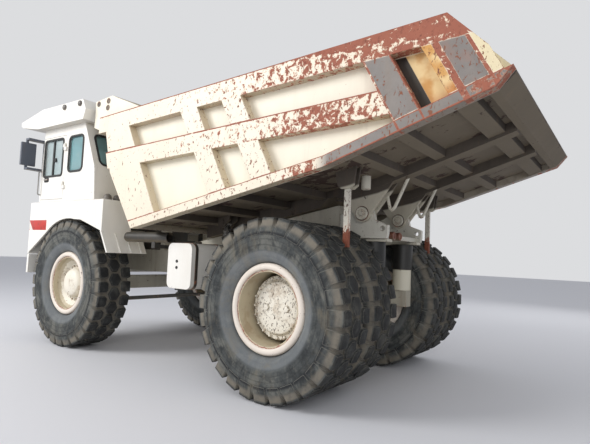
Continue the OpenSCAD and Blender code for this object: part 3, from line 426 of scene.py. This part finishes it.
def rubber(name, axle_x, mud):
    """Tyre rubber in rings about an axle. mud is how strongly the smears cover it."""
    made, tree, shader = new_material(name)
    radius = wheel_radius(tree, axle_x)
    base = colours(tree, fade(tree, grain(tree, 7, 8, 0.7), 0.35, 0.65), tint("#2c2f30"), tint("#4d504f"))
    blotch = fade(tree, grain(tree, 3.2, 11, 0.74, (1, 1, 0.7), 0.6, 1.0), 0.46, 0.6, 0.0, 0.55)
    base = colours(tree, blotch, base, tint("#7d7c74"))
    sidewall = between(tree, radius, 0.56, 0.9, 0.03)
    rings = calc(tree, "SINE", times(tree, radius, 95))
    base = colours(tree, times(tree, fade(tree, rings, 0.5, 1.0, 0.0, 0.35), sidewall), base, tint("#232526"))
    rubbed = between(tree, radius, 0.54, 0.68, 0.03)
    base = colours(tree, times(tree, rubbed, 0.55), base, tint("#84888a"))
    base = colours(tree, between(tree, radius, 0.86, 0.9, 0.015), base, tint("#26282a"))
    smear = fade(tree, grain(tree, 2.6, 9, 0.72, (1, 1, 0.6), 0.8, 5.0), 0.5, 0.68, 0.0, mud)
    base = colours(tree, smear, base, tint("#7d7462"))
    groove = times(tree, fade(tree, radius, 1.045, 1.02), fade(tree, radius, 0.93, 0.99),
                   fade(tree, grain(tree, 6, 7, 0.7, shift=2.0), 0.3, 0.6, 0.3, 1.0))
    base = colours(tree, groove, base, tint("#7b7468"))
    tread = fade(tree, grain(tree, 5, 8, 0.7), 0.65, 0.4, 0.55, 1.0)
    tread = times(tree, fade(tree, radius, 1.045, 1.055), tread)
    base = colours(tree, tread, base, tint("#1b1b1b"))
    scraped = fade(tree, worn_edge(tree, 0.015), 0.2, 1.0, 0.0, 0.65)
    base = colours(tree, scraped, base, tint("#85837a"))
    tree.links.new(base, shader.inputs["Base Color"])
    shader.inputs["Roughness"].default_value = 0.88
    scuffs = grain(tree, 26, 8, 0.75, distortion=0.5)
    bands = calc(tree, "SINE", times(tree, radius, 420))
    height = calc(tree, "MULTIPLY_ADD", times(tree, bands, sidewall), 0.05, scuffs)
    round_edges = add(tree, "Bevel", {"samples": 4}, Radius=0.014).outputs[0]
    bump = add(tree, "Bump", Strength=0.8, Distance=0.012, Height=height, Normal=round_edges)
    tree.links.new(bump.outputs[0], shader.inputs["Normal"])
    return made


rear_rubber = rubber("rear_rubber", rear_axle_x, 0.5)
front_rubber = rubber("front_rubber", front_axle_x, 0.3)


def fresh():
    """Object mode, with nothing selected."""
    if bpy.context.object and bpy.context.object.mode != "OBJECT":
        bpy.ops.object.mode_set(mode="OBJECT")
    bpy.ops.object.select_all(action="DESELECT")


def pick(piece, *others):
    """All of them selected, and the first one active."""
    fresh()
    for one in (piece,) + others:
        one.select_set(True)
    bpy.context.view_layer.objects.active = piece


def shape_up(points, name, fill):
    """A filled or open circle whose corners are set to the points, in edit mode with all selected."""
    fresh()
    bpy.ops.mesh.primitive_circle_add(vertices=len(points), radius=1, fill_type=fill)
    piece = bpy.context.active_object
    piece.name = name
    for corner, point in zip(piece.data.vertices, points):
        corner.co = point
    bpy.ops.object.mode_set(mode="EDIT")
    bpy.ops.mesh.select_all(action="SELECT")
    return piece


def settle(piece, material, body):
    """The piece in its finish, riding on its body."""
    pick(piece)
    bpy.ops.object.shade_smooth_by_angle(angle=corner_angle)
    piece.data.materials.clear()
    piece.data.materials.append(material)
    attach(piece, body)


def turned(name, profile, steps, centre=(0, 0, 0), out=1):
    """A closed outline of (radius, y) points spun about a wheel's axis at centre. out turns y round."""
    x, y, z = centre
    piece = shape_up([(x + radius, y + out * along, z) for radius, along in profile], name, "NOTHING")
    bpy.ops.mesh.spin(steps=steps, angle=2 * math.pi, center=centre, axis=(0, 1, 0))
    bpy.ops.mesh.select_all(action="SELECT")
    bpy.ops.mesh.remove_doubles(threshold=0.0002)
    bpy.ops.mesh.normals_make_consistent(inside=False)
    return piece


def plate(name, points, across, start, end, soft=0.003, width=0.0):
    """A plate cut to an outline, from start to end along the axis across, with its edges broken by
    soft. With a width, it is a flat frame of that width inside the outline."""
    corners = []
    for point in points:
        corner = list(point)
        corner.insert(across, start)
        corners.append(corner)
    piece = shape_up(corners, name, "NGON")
    if width:
        bpy.ops.mesh.inset(thickness=width, depth=0)
        bpy.ops.mesh.delete(type="FACE")
        bpy.ops.mesh.select_all(action="SELECT")
    thickness = [0, 0, 0]
    thickness[across] = end - start
    bpy.ops.mesh.extrude_region_move(TRANSFORM_OT_translate={"value": thickness})
    bpy.ops.mesh.select_all(action="SELECT")
    bpy.ops.mesh.normals_make_consistent(inside=False)
    if soft:
        bpy.ops.mesh.bevel(offset=soft, segments=2, affect="EDGES")
    return piece


def copy_of(piece, move=Matrix()):
    """A copy of the piece with a mesh of its own, which a matrix moves."""
    copy = piece.copy()
    copy.data = piece.data.copy()
    copy.data.transform(move)
    bpy.context.collection.objects.link(copy)
    return copy


def join(piece, *others):
    """The others become part of the piece."""
    pick(piece, *others)
    bpy.ops.object.join()


def placed(piece, moves):
    """The piece and copies of it, each with its mesh moved by one of the matrices, joined into one."""
    fresh()
    copies = [copy_of(piece, move) for move in moves[1:]]
    piece.data.transform(moves[0])
    if copies:
        join(piece, *copies)


def repeated(piece, places, turn=Matrix()):
    """The piece turned by a matrix and set at each of the places, joined into one."""
    placed(piece, [Matrix.Translation(place) @ turn for place in places])


def around(piece, centre, angles):
    """The piece at each of the angles about a wheel's axis at centre, joined into one."""
    placed(piece, [Matrix.Translation(centre) @ Matrix.Rotation(math.radians(angle), 4, "Y")
                   @ Matrix.Translation(-Vector(centre)) for angle in angles])


# half the casing's outline as radius and distance from the tyre's middle, from the bead to the tread
half_casing = ((0.4503, 0.2047), (0.541, 0.2047), (0.547, 0.238), (0.567, 0.264), (0.6, 0.286),
               (0.643, 0.303), (0.7, 0.318), (0.78, 0.325), (0.86, 0.32), (0.9, 0.313), (0.95, 0.294),
               (0.98, 0.275), (1.01, 0.235))
other_half = tuple((radius, -out) for radius, out in reversed(half_casing))
casing = turned("tyre", half_casing + other_half, 112)
# a lug is as wide as the casing at its foot and narrower at its top, where the shoulder leans in
lug_count, lug_half, lug_foot, lug_top, lug_end, shoulder_y = 28, 0.085, 0.868, 1.0655, 0.325, 0.281
lug = plate("lug", ((-lug_half, lug_end), (-lug_half, 0.157), (-0.053, 0.125), (0.053, 0.125),
                    (lug_half, 0.157), (lug_half, lug_end)), 2, lug_foot, lug_top, 0)
fresh()
for corner in lug.data.vertices:
    if corner.co.z > 1 and corner.co.y > 0.3:
        corner.co.y = shoulder_y
block_foot, block_top, block_half, block_tip = 0.97, 1.064, 0.1, 0.105
block = plate("block", ((-block_half, -0.05), (0, -block_tip), (block_half, -0.05), (block_half, 0.05),
                        (0, block_tip), (-block_half, 0.05)), 2, block_foot, block_top, 0)
for piece in (lug, block):
    pick(piece)
    bpy.ops.object.mode_set(mode="EDIT")
    bpy.ops.mesh.select_all(action="SELECT")
    bpy.ops.mesh.bevel(offset=0.011, segments=2, affect="EDGES")
    bpy.ops.object.mode_set(mode="OBJECT")
far_lug = copy_of(lug, Matrix.Rotation(math.pi, 4, "Z"))
step = 360 / lug_count
for piece, first in ((lug, 0), (far_lug, 0), (block, 0.5)):
    around(piece, (0, 0, 0), [(k + first) * step for k in range(lug_count)])
join(casing, lug, far_lug, block)
for side, label in sides:
    for node, body, look, x, places in (
            ("front_tyre_", "front_wheel_", front_rubber, front_axle_x, (front_wheel_y,)),
            ("rear_tyres_", "rear_wheels_", rear_rubber, rear_axle_x, (inner_wheel_y, outer_wheel_y))):
        tyre = copy_of(casing)
        tyre.name = node + label + "_rubber"
        repeated(tyre, [(x, side * y, wheel_z) for y in places])
        settle(tyre, look, body + label)
        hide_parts(node + label)
bpy.data.objects.remove(casing)


# Rims: pressed steel, with pale cream flanges, a rusty line inside them and dusty beige barrels. The
# thick paint of the rear hub covers has flaked into hundreds of dark specks.
def rim_coat(axle_x):
    """The coat of an axle's rims, in uneven rings."""
    def coat(tree):
        """Cream in the middle, then beige, a line of rust and the pale flange."""
        uneven = fade(tree, grain(tree, 16, 7, 0.7, shift=6.0), 0.3, 0.7, -0.01, 0.012)
        radius = plus(tree, wheel_radius(tree, axle_x), uneven)
        base = colours(tree, fade(tree, radius, 0.385, 0.395), tint("#f1ebdc"), tint("#c6ba9f"))
        stained = fade(tree, grain(tree, 3, 8, 0.7), 0.5, 0.62, 0.0, 0.5)
        base = colours(tree, stained, base, tint("#a58b6c"))
        base = colours(tree, fade(tree, radius, 0.44, 0.446), base, tint("#9a5544"))
        return colours(tree, fade(tree, radius, 0.452, 0.456), base, tint("#eadfd2"))
    return coat


def hub_chips(axle_x, amount):
    """The chips of an axle's rims: the given amount on the hub, and few outside it."""
    def chips(tree):
        """More inside the barrel."""
        return fade(tree, wheel_radius(tree, axle_x), 0.4, 0.37, 0.12, amount)
    return chips


rear_rim_look = old_paint("rear_rim_paint", "#e6e1d2", 0.06, hub_chips(rear_axle_x, 0.33), 0.05, 0.25,
                          rim_coat(rear_axle_x), gloss=0.5, chip_tint="#5f4e40", patch=6, fleck=55)
front_rim_look = old_paint("front_rim_paint", "#ece7da", 0.08, hub_chips(front_axle_x, 0.2), 0.15, 0.35,
                           rim_coat(front_axle_x), gloss=0.5)
for side, label in sides:
    dress("front_rim_" + label, front_rim_look, 0.004)
    dress("rear_rims_" + label, rear_rim_look, 0.004)

# Lock rings: rolled steel rings with a rounded edge that hold the tyres' beads on the rims. One shows
# on the outer face of each wheel, in pale paint with rust at its edges.
flange_look = old_paint("flange_paint", "#eadfd2", 0.12, 0.16, 0.15, 0.3, gloss=0.5, size=0.6,
                        rust_tints=("#9a5a48", "#7d4638", "#5c3328"))
ring_profile = ((0.4515, 0.0), (0.452, 0.01), (0.46, 0.02), (0.476, 0.027), (0.498, 0.027),
                (0.517, 0.019), (0.528, 0.008), (0.531, 0.0))
front_ring_y, rear_ring_y = 1.887, 1.976
for wheel, x, y in (("front_wheel_", front_axle_x, front_ring_y), ("rear_wheels_", rear_axle_x, rear_ring_y)):
    for side, label in sides:
        ring = turned("lock_ring_" + wheel + label, ring_profile, 96, (x, side * y, wheel_z), side)
        settle(ring, flange_look, wheel + label)


# Hubs of the rear wheels: a wide drum whose flange carries twenty studs round a raised cover with
# two hexagon plugs, all in the flaked cream paint. The drum is bolted into the outer rim.
def hexagon(x, z, radius):
    """Outline of a nut or bolt head about a place."""
    turns = [math.radians(angle) for angle in range(0, 360, 60)]
    return [(x + radius * math.cos(turn), z + radius * math.sin(turn)) for turn in turns]


hub_y = 1.371
hub_profile = ((0.0, 0.235), (0.0, 0.415), (0.29, 0.415), (0.303, 0.411), (0.315, 0.4), (0.328, 0.374),
               (0.335, 0.37), (0.374, 0.37), (0.383, 0.362), (0.383, 0.09), (0.376, 0.09), (0.376, 0.235))
for side, label in sides:
    centre = (rear_axle_x, side * hub_y, wheel_z)
    hub = turned("hub_rear_wheels_" + label, hub_profile, 80, centre, side)
    heads = []
    # name, distance from the axis, radius, foot, height, broken edge, angles
    for name, reach, radius, foot, height, soft, angles in (
            ("stud", 0.356, 0.018, 0.365, 0.032, 0.003, range(0, 360, 18)),
            ("plug", 0.15, 0.04, 0.41, 0.028, 0.004, (0, 180))):
        y = side * (hub_y + foot)
        head = plate(name, hexagon(rear_axle_x + reach, wheel_z, radius), 1, y, y + side * height, soft)
        around(head, centre, angles)
        heads.append(head)
    join(hub, *heads)
    settle(hub, rear_rim_look, "rear_wheels_" + label)

# Hub bolts of the front wheels: twelve hexagon nuts on studs between the holes of the disc. They are
# bare steel with a little rust.
nut_look = old_paint("nut_steel", "#b8b2a4", 0.3, 0.3, 0.3, 0.3, size=0.3)
nut_circle, nut_radius, nut_height = 0.293, 0.02, 0.022
nut_places = [(front_axle_x + nut_circle * math.cos(math.radians(angle)), 0,
               wheel_z + nut_circle * math.sin(math.radians(angle))) for angle in range(15, 360, 30)]
for side, label in sides:
    y = side * (front_wheel_y + 0.06)
    nut = plate("hub_nut_front_wheel_" + label, hexagon(0, 0, nut_radius), 1, y, y + side * nut_height, 0.002)
    repeated(nut, nut_places)
    settle(nut, nut_look, "front_wheel_" + label)

# Cab, hood, decks, door, tanks, bumper and handrails: bent sheet and tube, welded or bolted to the
# frame. Their cream paint is newer than the body's, with dust and few chips.
cream = old_paint("cream_paint", "#f3f0e8", 0.05, 0.08, 0.1, 0.2, fleck=30)
for name in ("bumper", "hood", "deck_left", "deck_right", "cab_shell", "cab_roof", "door", "fuel_tank",
             "oil_tank", "handrails"):
    dress(name, cream)


# Rock ejectors: flat steel bars that hang on a pin between the twin tyres. They are painted white
# and rusted at their lower ends.
def ejector_rust(tree):
    """Little rust above, and much at the bar's lower end."""
    x, y, z = here(tree)
    return fade(tree, z, 2.15, 1.95, 0.12, 0.75)


ejector_look = old_paint("ejector_paint", "#e3dfd2", ejector_rust, 0.3, 0.2, 0.3, size=0.5)
for name in ("ejector_left", "ejector_right"):
    dress(name, ejector_look, 0.003)

# Chassis: welded frame rails, cast axle housings and hoist brackets in dusty, oily cream-grey paint.
# The brackets at the frame's tail are cleaner, and chipped along their edges.
frame_look = old_paint("frame_paint", "#c9c4b4", 0.12, 0.16, 0.5, 0.3, gloss=0.6, dust="#8b8272", fleck=26)
for name in ("frame", "hoist_brackets", "front_axle", "rear_axle"):
    dress(name, frame_look)
bracket_look = old_paint("bracket_paint", "#d2cfc3", 0.12, 0.22, 0.35, 0.35, dust="#9b9282", size=0.6)
dress("rear_brackets", bracket_look)

# Struts: the suspension cylinders of both axles, black rubbed top tubes over straight cream cups. The
# cups of the rear ones end a little higher, and the paint changes there.
front_cup_z, rear_cup_z = 1.5315, 1.556


def strut_coat(tree):
    """Cream on the cups and black above them."""
    x, y, z = here(tree)
    cup_z = calc(tree, "MULTIPLY_ADD", fade(tree, x, 0.0, -0.2), rear_cup_z - front_cup_z, front_cup_z)
    above = fade(tree, calc(tree, "SUBTRACT", z, cup_z), -0.003, 0.003)
    return colours(tree, above, tint("#dcd6c2"), tint("#141515"))


strut_look = old_paint("strut_paint", "#dcd6c2", 0.06, 0.12, 0.1, 0.2, strut_coat, dust="#8d8577")
dress("struts", strut_look, 0.004)

# Dark parts and machinery: grille, exhaust and air cleaners are sheet steel in black paint, and the
# mirrors have dark grey cases with a blue tint that is painted glare. Engine, shaft, steering and hoist
# barrels wear greasy grey paint.
dark_look = old_paint("dark_paint", "#2b2a28", 0.15, 0.1, 0.35, 0.2, dust="#6a6254")
for name in ("grille", "exhaust_pipe", "air_cleaners"):
    dress(name, dark_look, 0.003)
# painted glare: the cases' grey is tinted blue like the haze of flare on them
mirror_look = old_paint("mirror_paint", "#565b66", 0.06, 0.08, 0.25, 0.2, dust="#8a8c90", size=0.5)
dress("mirrors", mirror_look, 0.004)
machine_look = old_paint("machine_paint", "#5b5a55", 0.2, 0.15, 0.6, 0.2, dust="#4a4238")
for name in ("engine", "driveshaft", "knuckle_left", "knuckle_right", "tie_rod", "hoist_barrel_left",
             "hoist_barrel_right"):
    dress(name, machine_look, 0.003)

# Hoist stages: ground and chromed tubes that slide out of the barrels. They carry a film of oil that
# runs down them in dull streaks.
chrome_look, tree, shader = new_material("hoist_chrome")
shader.inputs["Metallic"].default_value = 0.95
film = fade(tree, grain(tree, 3, 6, 0.6, (1, 1, 0.2)), 0.4, 0.7)
link_looks(tree, shader, colours(tree, film, tint("#c3c5c8"), tint("#8b8880")),
           fade(tree, film, 0, 1, 0.14, 0.4))
for name in ("hoist_stage_left", "hoist_stage_right", "hoist_rod_left", "hoist_rod_right"):
    dress(name, chrome_look, 0.003)

# Seat and console: padded and covered in dark vinyl with a leather grain. They stand on the floor of
# the cab.
vinyl_look, tree, shader = new_material("seat_vinyl")
shader.inputs["Roughness"].default_value = 0.6
leather = add(tree, "TexVoronoi", Vector=spot(tree), Scale=220).outputs[0]
link_looks(tree, shader, colours(tree, grain(tree, 3, 5, 0.6), tint("#1c1c1e"), tint("#333335")), None,
           leather, 0.4, 0.002)
dress("cab_seat", vinyl_look, 0.025)

# Window glass: flat green-blue panes in rubber, with a film of dust. The pane in the door is paler.
# The lenses of the headlamps are pressed glass with fine ribs.
for name, clear, filmed, through in (("cab_glass", "#a9d6da", "#d5e8e6", 0.6),
                                     ("door_glass", "#e2f0f0", "#f1f5f3", 0.55)):
    glass_look, tree, shader = new_material(name)
    dusty = fade(tree, grain(tree, 2, 6, 0.6), 0.4, 0.75, 0.0, 0.5)
    link_looks(tree, shader, colours(tree, dusty, tint(clear), tint(filmed)),
               fade(tree, dusty, 0, 1, 0.04, 0.3))
    shader.inputs["Transmission Weight"].default_value = through
    dress(name, glass_look, 0)
lens_look, tree, shader = new_material("lamp_glass")
ribs = add(tree, "TexWave", Vector=spot(tree), Scale=18).outputs[0]
shader.inputs["Roughness"].default_value = 0.08
link_looks(tree, shader, colours(tree, ribs, tint("#d9dcdc"), tint("#f2f3f0")), None, ribs, 0.5, 0.003)
dress("headlamps", lens_look)


# Window rubbers: black extruded profiles pressed round each pane of the cab's sides, the windscreen
# and the slanted rear window. In the door, an upright and a catch part the sliding pane.
def rounded(a0, b0, a1, b1, r, steps=5):
    """Outline of a rectangle with round corners."""
    points = []
    for ca, cb, turn in ((a1 - r, b0 + r, -90), (a1 - r, b1 - r, 0), (a0 + r, b1 - r, 90),
                         (a0 + r, b0 + r, 180)):
        for k in range(steps + 1):
            angle = math.radians(turn + 90 * k / steps)
            points.append((ca + r * math.cos(angle), cb + r * math.sin(angle)))
    return points


def oblong(a0, b0, a1, b1):
    """Outline of a rectangle."""
    return (a0, b0), (a1, b0), (a1, b1), (a0, b1)


rubber_look, tree, shader = new_material("window_rubber")
shader.inputs["Roughness"].default_value = 0.7
link_looks(tree, shader, colours(tree, grain(tree, 9, 5, 0.6), tint("#1d1e1e"), tint("#3a3a38")), None,
           grain(tree, 120, 3), 0.3, 0.002)
# the cab's outer side face and the one towards the truck's middle
cab_face, inner_face = 1.95, 0.6
seal_width, seal_depth = 0.036, 0.018
for name, x0, z0, x1, z1, r, start, body in (
        ("door_seal", 4.755, 2.925, 5.415, 3.625, 0.07, cab_face - 0.006, "door"),
        ("quarter_seal", 4.122, 2.972, 4.598, 3.628, 0.1, cab_face - 0.006, "chassis"),
        ("inner_seal", 4.122, 2.972, 5.318, 3.628, 0.1, inner_face - 0.012, "chassis")):
    seal = plate(name, rounded(at(x0), z0, at(x1), z1, r), 1, start, start + seal_depth, width=seal_width)
    settle(seal, rubber_look, body)
# the foot of the pane, and how far it runs forward per metre of height
for name, outline, foot_x, foot_z, lean, out in (
        ("rear_seal", rounded(0.782, 3.062, 1.848, 3.638, 0.1), 3.77, 3.03, 0.36 / 0.78, -1),
        ("screen_seal", rounded(0.672, 2.962, 1.878, 3.718, 0.1), 5.5, 2.94, -0.06 / 0.87, 1)):
    seal = plate(name, outline, 0, -0.006 * out, 0.012 * out, width=seal_width)
    fresh()
    for corner in seal.data.vertices:
        corner.co.x += at(foot_x) + (corner.co.z - foot_z) * lean
    settle(seal, rubber_look, "chassis")
divider = plate("pane_divider", oblong(at(5.08), 2.95, at(5.125), 3.6), 1, cab_face - 0.02, cab_face, 0.004)
settle(divider, rubber_look, "door")
catch = plate("pane_catch", rounded(at(5.0), 3.2, at(5.06), 3.27, 0.012, 3), 1, cab_face - 0.02,
              cab_face + 0.005)
settle(catch, rubber_look, "door")

# Door furniture: a dark recessed latch with a bright steel lever, screwed into the door, and a bent
# steel grab handle bolted to the cab ahead of it.
bright_look = old_paint("handle_steel", "#9a9c9b", 0.1, 0.15, 0.2, 0.3, size=0.3)
dish_face, lever_face = cab_face + 0.006, cab_face + 0.026
dish = plate("latch_dish", rounded(at(5.2), 2.84, at(5.36), 2.93, 0.03, 4), 1, cab_face - 0.002, dish_face)
settle(dish, rubber_look, "door")
lever = plate("latch_lever", rounded(at(5.215), 2.875, at(5.345), 2.9, 0.01, 3), 1, dish_face,
              lever_face, 0.004)
settle(lever, bright_look, "door")


def bar(name, points, radius, material, body):
    """A round bar along straight runs between three or more points, its corners bent round."""
    piece = shape_up(points, name, "NOTHING")
    bpy.context.tool_settings.mesh_select_mode = (False, True, False)
    bpy.ops.mesh.select_all(action="DESELECT")
    bpy.ops.object.mode_set(mode="OBJECT")
    closing = {0, len(points) - 1}
    for link in piece.data.edges:
        link.select = set(link.vertices) == closing
    bpy.ops.object.mode_set(mode="EDIT")
    bpy.ops.mesh.delete(type="EDGE")
    bpy.ops.mesh.select_all(action="SELECT")
    bpy.ops.mesh.bevel(offset=radius * 2.5, segments=4, affect="VERTICES")
    bpy.ops.object.mode_set(mode="OBJECT")
    bpy.ops.object.convert(target="CURVE")
    piece = bpy.context.active_object
    piece.data.bevel_depth = radius
    piece.data.bevel_resolution = 3
    piece.data.use_fill_caps = True
    bpy.ops.object.convert(target="MESH")
    settle(bpy.context.active_object, material, body)


handle_foot, handle_out = cab_face - 0.005, cab_face + 0.05
handle_line = ((handle_foot, 2.62), (handle_out, 2.62), (handle_out, 3.05), (handle_foot, 3.05))
bar("grab_handle", [(at(5.475), y, z) for y, z in handle_line], 0.012, bright_look, "chassis")

# Hazard strip: a glossy red band with one pale slanting part, worn in places. It is stuck along the
# front end of the fender on both sides.
hazard_look, tree, shader = new_material("hazard_strip")
shader.inputs["Roughness"].default_value = 0.35
x, y, z = here(tree)
# how far the pale part runs forward per metre of height, and the height at which it has its x
lean, strip_z = 0.8, 2.05
slant = calc(tree, "SUBTRACT", x, times(tree, z, lean))
pale = between(tree, slant, at(5.7) - lean * strip_z, at(5.82) - lean * strip_z)
worn = fade(tree, grain(tree, 14, 6, 0.7), 0.5, 0.62, 0.0, 0.7)
red = colours(tree, worn, tint("#c2382f"), tint("#93403a"))
link_looks(tree, shader, colours(tree, pale, red, tint("#e9e2d8")))
for side, label in sides:
    strip = plate("hazard_strip_" + label, oblong(at(5.17), 1.97, at(5.775), 2.15), 1,
                  side * (cab_face - 0.001), side * (cab_face + 0.003), 0.001)
    settle(strip, hazard_look, "chassis")

# Hinge pins: turned steel pins on which the body tips. A dark disc of painted shade for the gap round
# the pin, a stepped round head and a central nut show in both faces of each ear.
strap_and_gap_shade_look = old_paint("strap_steel_and_gap_shade", "#2f2d2a", 0.3, 0.2, 0.4, 0.3, size=0.5, dust="#6f6656")
keeper_look = old_paint("keeper_paint", "#dad5c5", 0.1, 0.18, 0.2, 0.3, size=0.5, dust="#8d8475")
pin_x, pin_z, ear_y, ear_half = at(-0.526), 2.296, 0.6, 0.095
gap_shade_profile = ((0.0, -0.002), (0.099, -0.002), (0.099, 0.003), (0.0, 0.003))
cap_profile = ((0.0, 0.0), (0.086, 0.0), (0.086, 0.02), (0.079, 0.028), (0.056, 0.028), (0.05, 0.018),
               (0.034, 0.018), (0.034, 0.034), (0.028, 0.04), (0.0, 0.04))
for side, label in sides:
    for face, face_label in ((1, "_out"), (-1, "_in")):
        place = (pin_x, side * ear_y + face * ear_half, pin_z)
        # painted shade: a dark disc a little wider than the head stands for the gap round the pin
        gap = turned("pin_gap_" + label + face_label, gap_shade_profile, 48, place, face)
        settle(gap, strap_and_gap_shade_look, "dump_body")
        cap = turned("pin_cap_" + label + face_label, cap_profile, 48, place, face)
        settle(cap, keeper_look, "dump_body")

# Tank straps: two bands of strip steel bolted round each tank, and a turned filler cap on top. The
# left tank has two small round sight glasses in its face.
upright = Matrix.Rotation(math.pi / 2, 4, "X")
for side, label, front_x in ((1, "left", 2.06), (-1, "right", 2.16)):
    outline = rounded(at(1.552), 1.152, at(front_x + 0.008), 1.818, 0.098)
    for k, y in enumerate((1.16, 1.62)):
        band = plate("tank_strap_%s_%d" % (label, k), outline, 1, side * y, side * (y + 0.05), 0.002, 0.011)
        settle(band, strap_and_gap_shade_look, "chassis")
    cap = turned("filler_cap_" + label, ((0.0, 0.0), (0.05, 0.0), (0.05, 0.03), (0.044, 0.038),
                                         (0.0, 0.038)), 32)
    repeated(cap, [(at(1.8), side * 1.4, 1.808)], upright)
    settle(cap, strap_and_gap_shade_look, "chassis")
sight_profile = ((0.0, -0.004), (0.022, -0.004), (0.022, 0.006), (0.016, 0.01), (0.0, 0.008))
for k, z in enumerate((1.46, 1.55)):
    sight = turned("tank_sight_%d" % k, sight_profile, 24, (at(1.86), 1.74, z))
    settle(sight, rubber_look, "chassis")

# Steering wheel and column in the cab: a moulded ring of vinyl, leaned towards the seat, on a tube
# that runs down towards the front.
wheel_place, ring_radius, grip = (at(4.98), 1.275, 3.08), 0.235, 0.016
angles = [math.radians(angle) for angle in range(0, 360, 45)]
wheel = turned("steering_wheel", [(ring_radius + grip * math.cos(a), grip * math.sin(a)) for a in angles], 48)
repeated(wheel, [wheel_place], Matrix.Rotation(math.radians(-35), 4, "Y") @ upright)
settle(wheel, vinyl_look, "chassis")
bar("steering_column", [wheel_place, (at(5.04), 1.275, 2.99), (at(5.1), 1.275, 2.9)], 0.025, vinyl_look,
    "chassis")

# Headlamp bezels: rolled steel rings in dark grey paint, screwed on round the four lenses at the
# truck's front.
bezel_look = old_paint("bezel_steel", "#3a3a39", 0.1, 0.1, 0.2, 0.2, size=0.3)
bezel = turned("headlamp_bezels", ((0.078, 0.0), (0.1, 0.0), (0.104, 0.012), (0.096, 0.03), (0.084, 0.034),
                                   (0.078, 0.028)), 40)
forward = Matrix.Rotation(-math.pi / 2, 4, "Z")
repeated(bezel, [(at(5.78), y, 1.83) for y in (0.95, 1.18, -0.95, -1.18)], forward)
settle(bezel, bezel_look, "chassis")

# Lifting eyes: holes with a welded ring in the side faces of the canopy, two above each other and one
# ahead of them. Inside they are rusty, and their near-black colour is painted shade for the hole.
eye_and_hole_shade_look = old_paint("eye_steel_and_hole_shade", "#191512", 0.3, 0.1, 0.3, 0.2, size=0.3)
eye_profile = ((0.0, -0.002), (0.034, -0.002), (0.04, 0.001), (0.046, 0.006), (0.034, 0.006), (0.03, 0.0015),
               (0.0, 0.001))
canopy_y = 1.95
for side, label in sides:
    # painted shade: each eye is a shallow disc and ring coloured near-black as the hole's shade
    hole = turned("lifting_eyes_" + label, eye_profile, 28, out=side)
    repeated(hole, [(at(x), side * canopy_y, z) for x, z in ((3.49, 4.085), (3.5, 3.975), (3.76, 4.07))])
    settle(hole, eye_and_hole_shade_look, "dump_body")

# Small lamps: round markers screwed to both side faces of the cab roof, and two domes on the deck
# behind the cab. Their cases are grey and dusty.
lamp_look = old_paint("lamp_case", "#5f5b58", 0.1, 0.2, 0.3, 0.3, size=0.3, dust="#8d8475")
marker_profile = ((0.0, -0.002), (0.048, -0.002), (0.048, 0.016), (0.04, 0.026), (0.02, 0.032), (0.0, 0.033))
for face, label, y in ((1, "out", 2.1), (-1, "in", 0.5)):
    marker = turned("roof_markers_" + label, marker_profile, 28, out=face)
    repeated(marker, [(at(x), y, 4.09) for x in (4.07, 4.55)])
    settle(marker, lamp_look, "chassis")
dome = turned("deck_domes", ((0.0, 0.0), (0.066, 0.0), (0.066, 0.05), (0.054, 0.085), (0.028, 0.106),
                             (0.0, 0.11)), 28)
repeated(dome, [(at(3.6), y, 2.477) for y in (1.78, 1.6)], upright)
settle(dome, lamp_look, "chassis")

# Under the body: a steel strap bent to a V behind each hinge, and a stub of tube on each side on which
# the body would come down on the axle. Both are welded on and kept their cream paint.
strap_y, strap_line = 0.53, ((-0.77, 2.7), (-0.86, 2.345), (-0.9, 2.345), (-1.12, 2.82))
stop_profile = ((0.0, 0.0), (0.05, 0.0), (0.06, 0.012), (0.06, 0.18), (0.0, 0.18))
for side, label in sides:
    bar("strap_loop_" + label, [(at(x), side * strap_y, z) for x, z in strap_line], 0.022, keeper_look,
        "dump_body")
    stop = turned("bump_stop_" + label, stop_profile, 32)
    repeated(stop, [(at(-0.68), side * 0.9, 2.577)], upright)
    settle(stop, keeper_look, "dump_body")

# Between the rear brackets: two capped stubs of steel tube, bare and rusty, that stick out to the
# rear of the frame.
stub_look = old_paint("stub_rust", "#6b3f31", 0.4, 0.2, 0.35, 0.3, size=0.4, dust="#5d5046")
stubs = turned("rear_stubs", ((0.0, 0.012), (0.03, 0.012), (0.036, 0.0), (0.048, 0.0), (0.055, 0.008),
                              (0.055, 0.11), (0.0, 0.11)), 32)
repeated(stubs, [(at(-0.86), y, 2.02) for y in (0.375, 0.17)], forward)
settle(stubs, stub_look, "chassis")

# Ribs of the skirt behind each front wheel: three upright flat bars of steel welded to its back, in
# the cream paint of the deck.
rib_y, rib_gap, rib_thick = 1.3, 0.2, 0.015
rib_outline = ((at(3.452), 1.94), (at(3.425), 1.94), (at(3.23), 1.63), (at(3.257), 1.63))
for side, label in sides:
    rib = plate("skirt_ribs_" + label, rib_outline, 1, side * rib_y, side * (rib_y + rib_thick), 0.002)
    repeated(rib, [(0, side * rib_gap * k, 0) for k in range(3)])
    settle(rib, cream, "chassis")
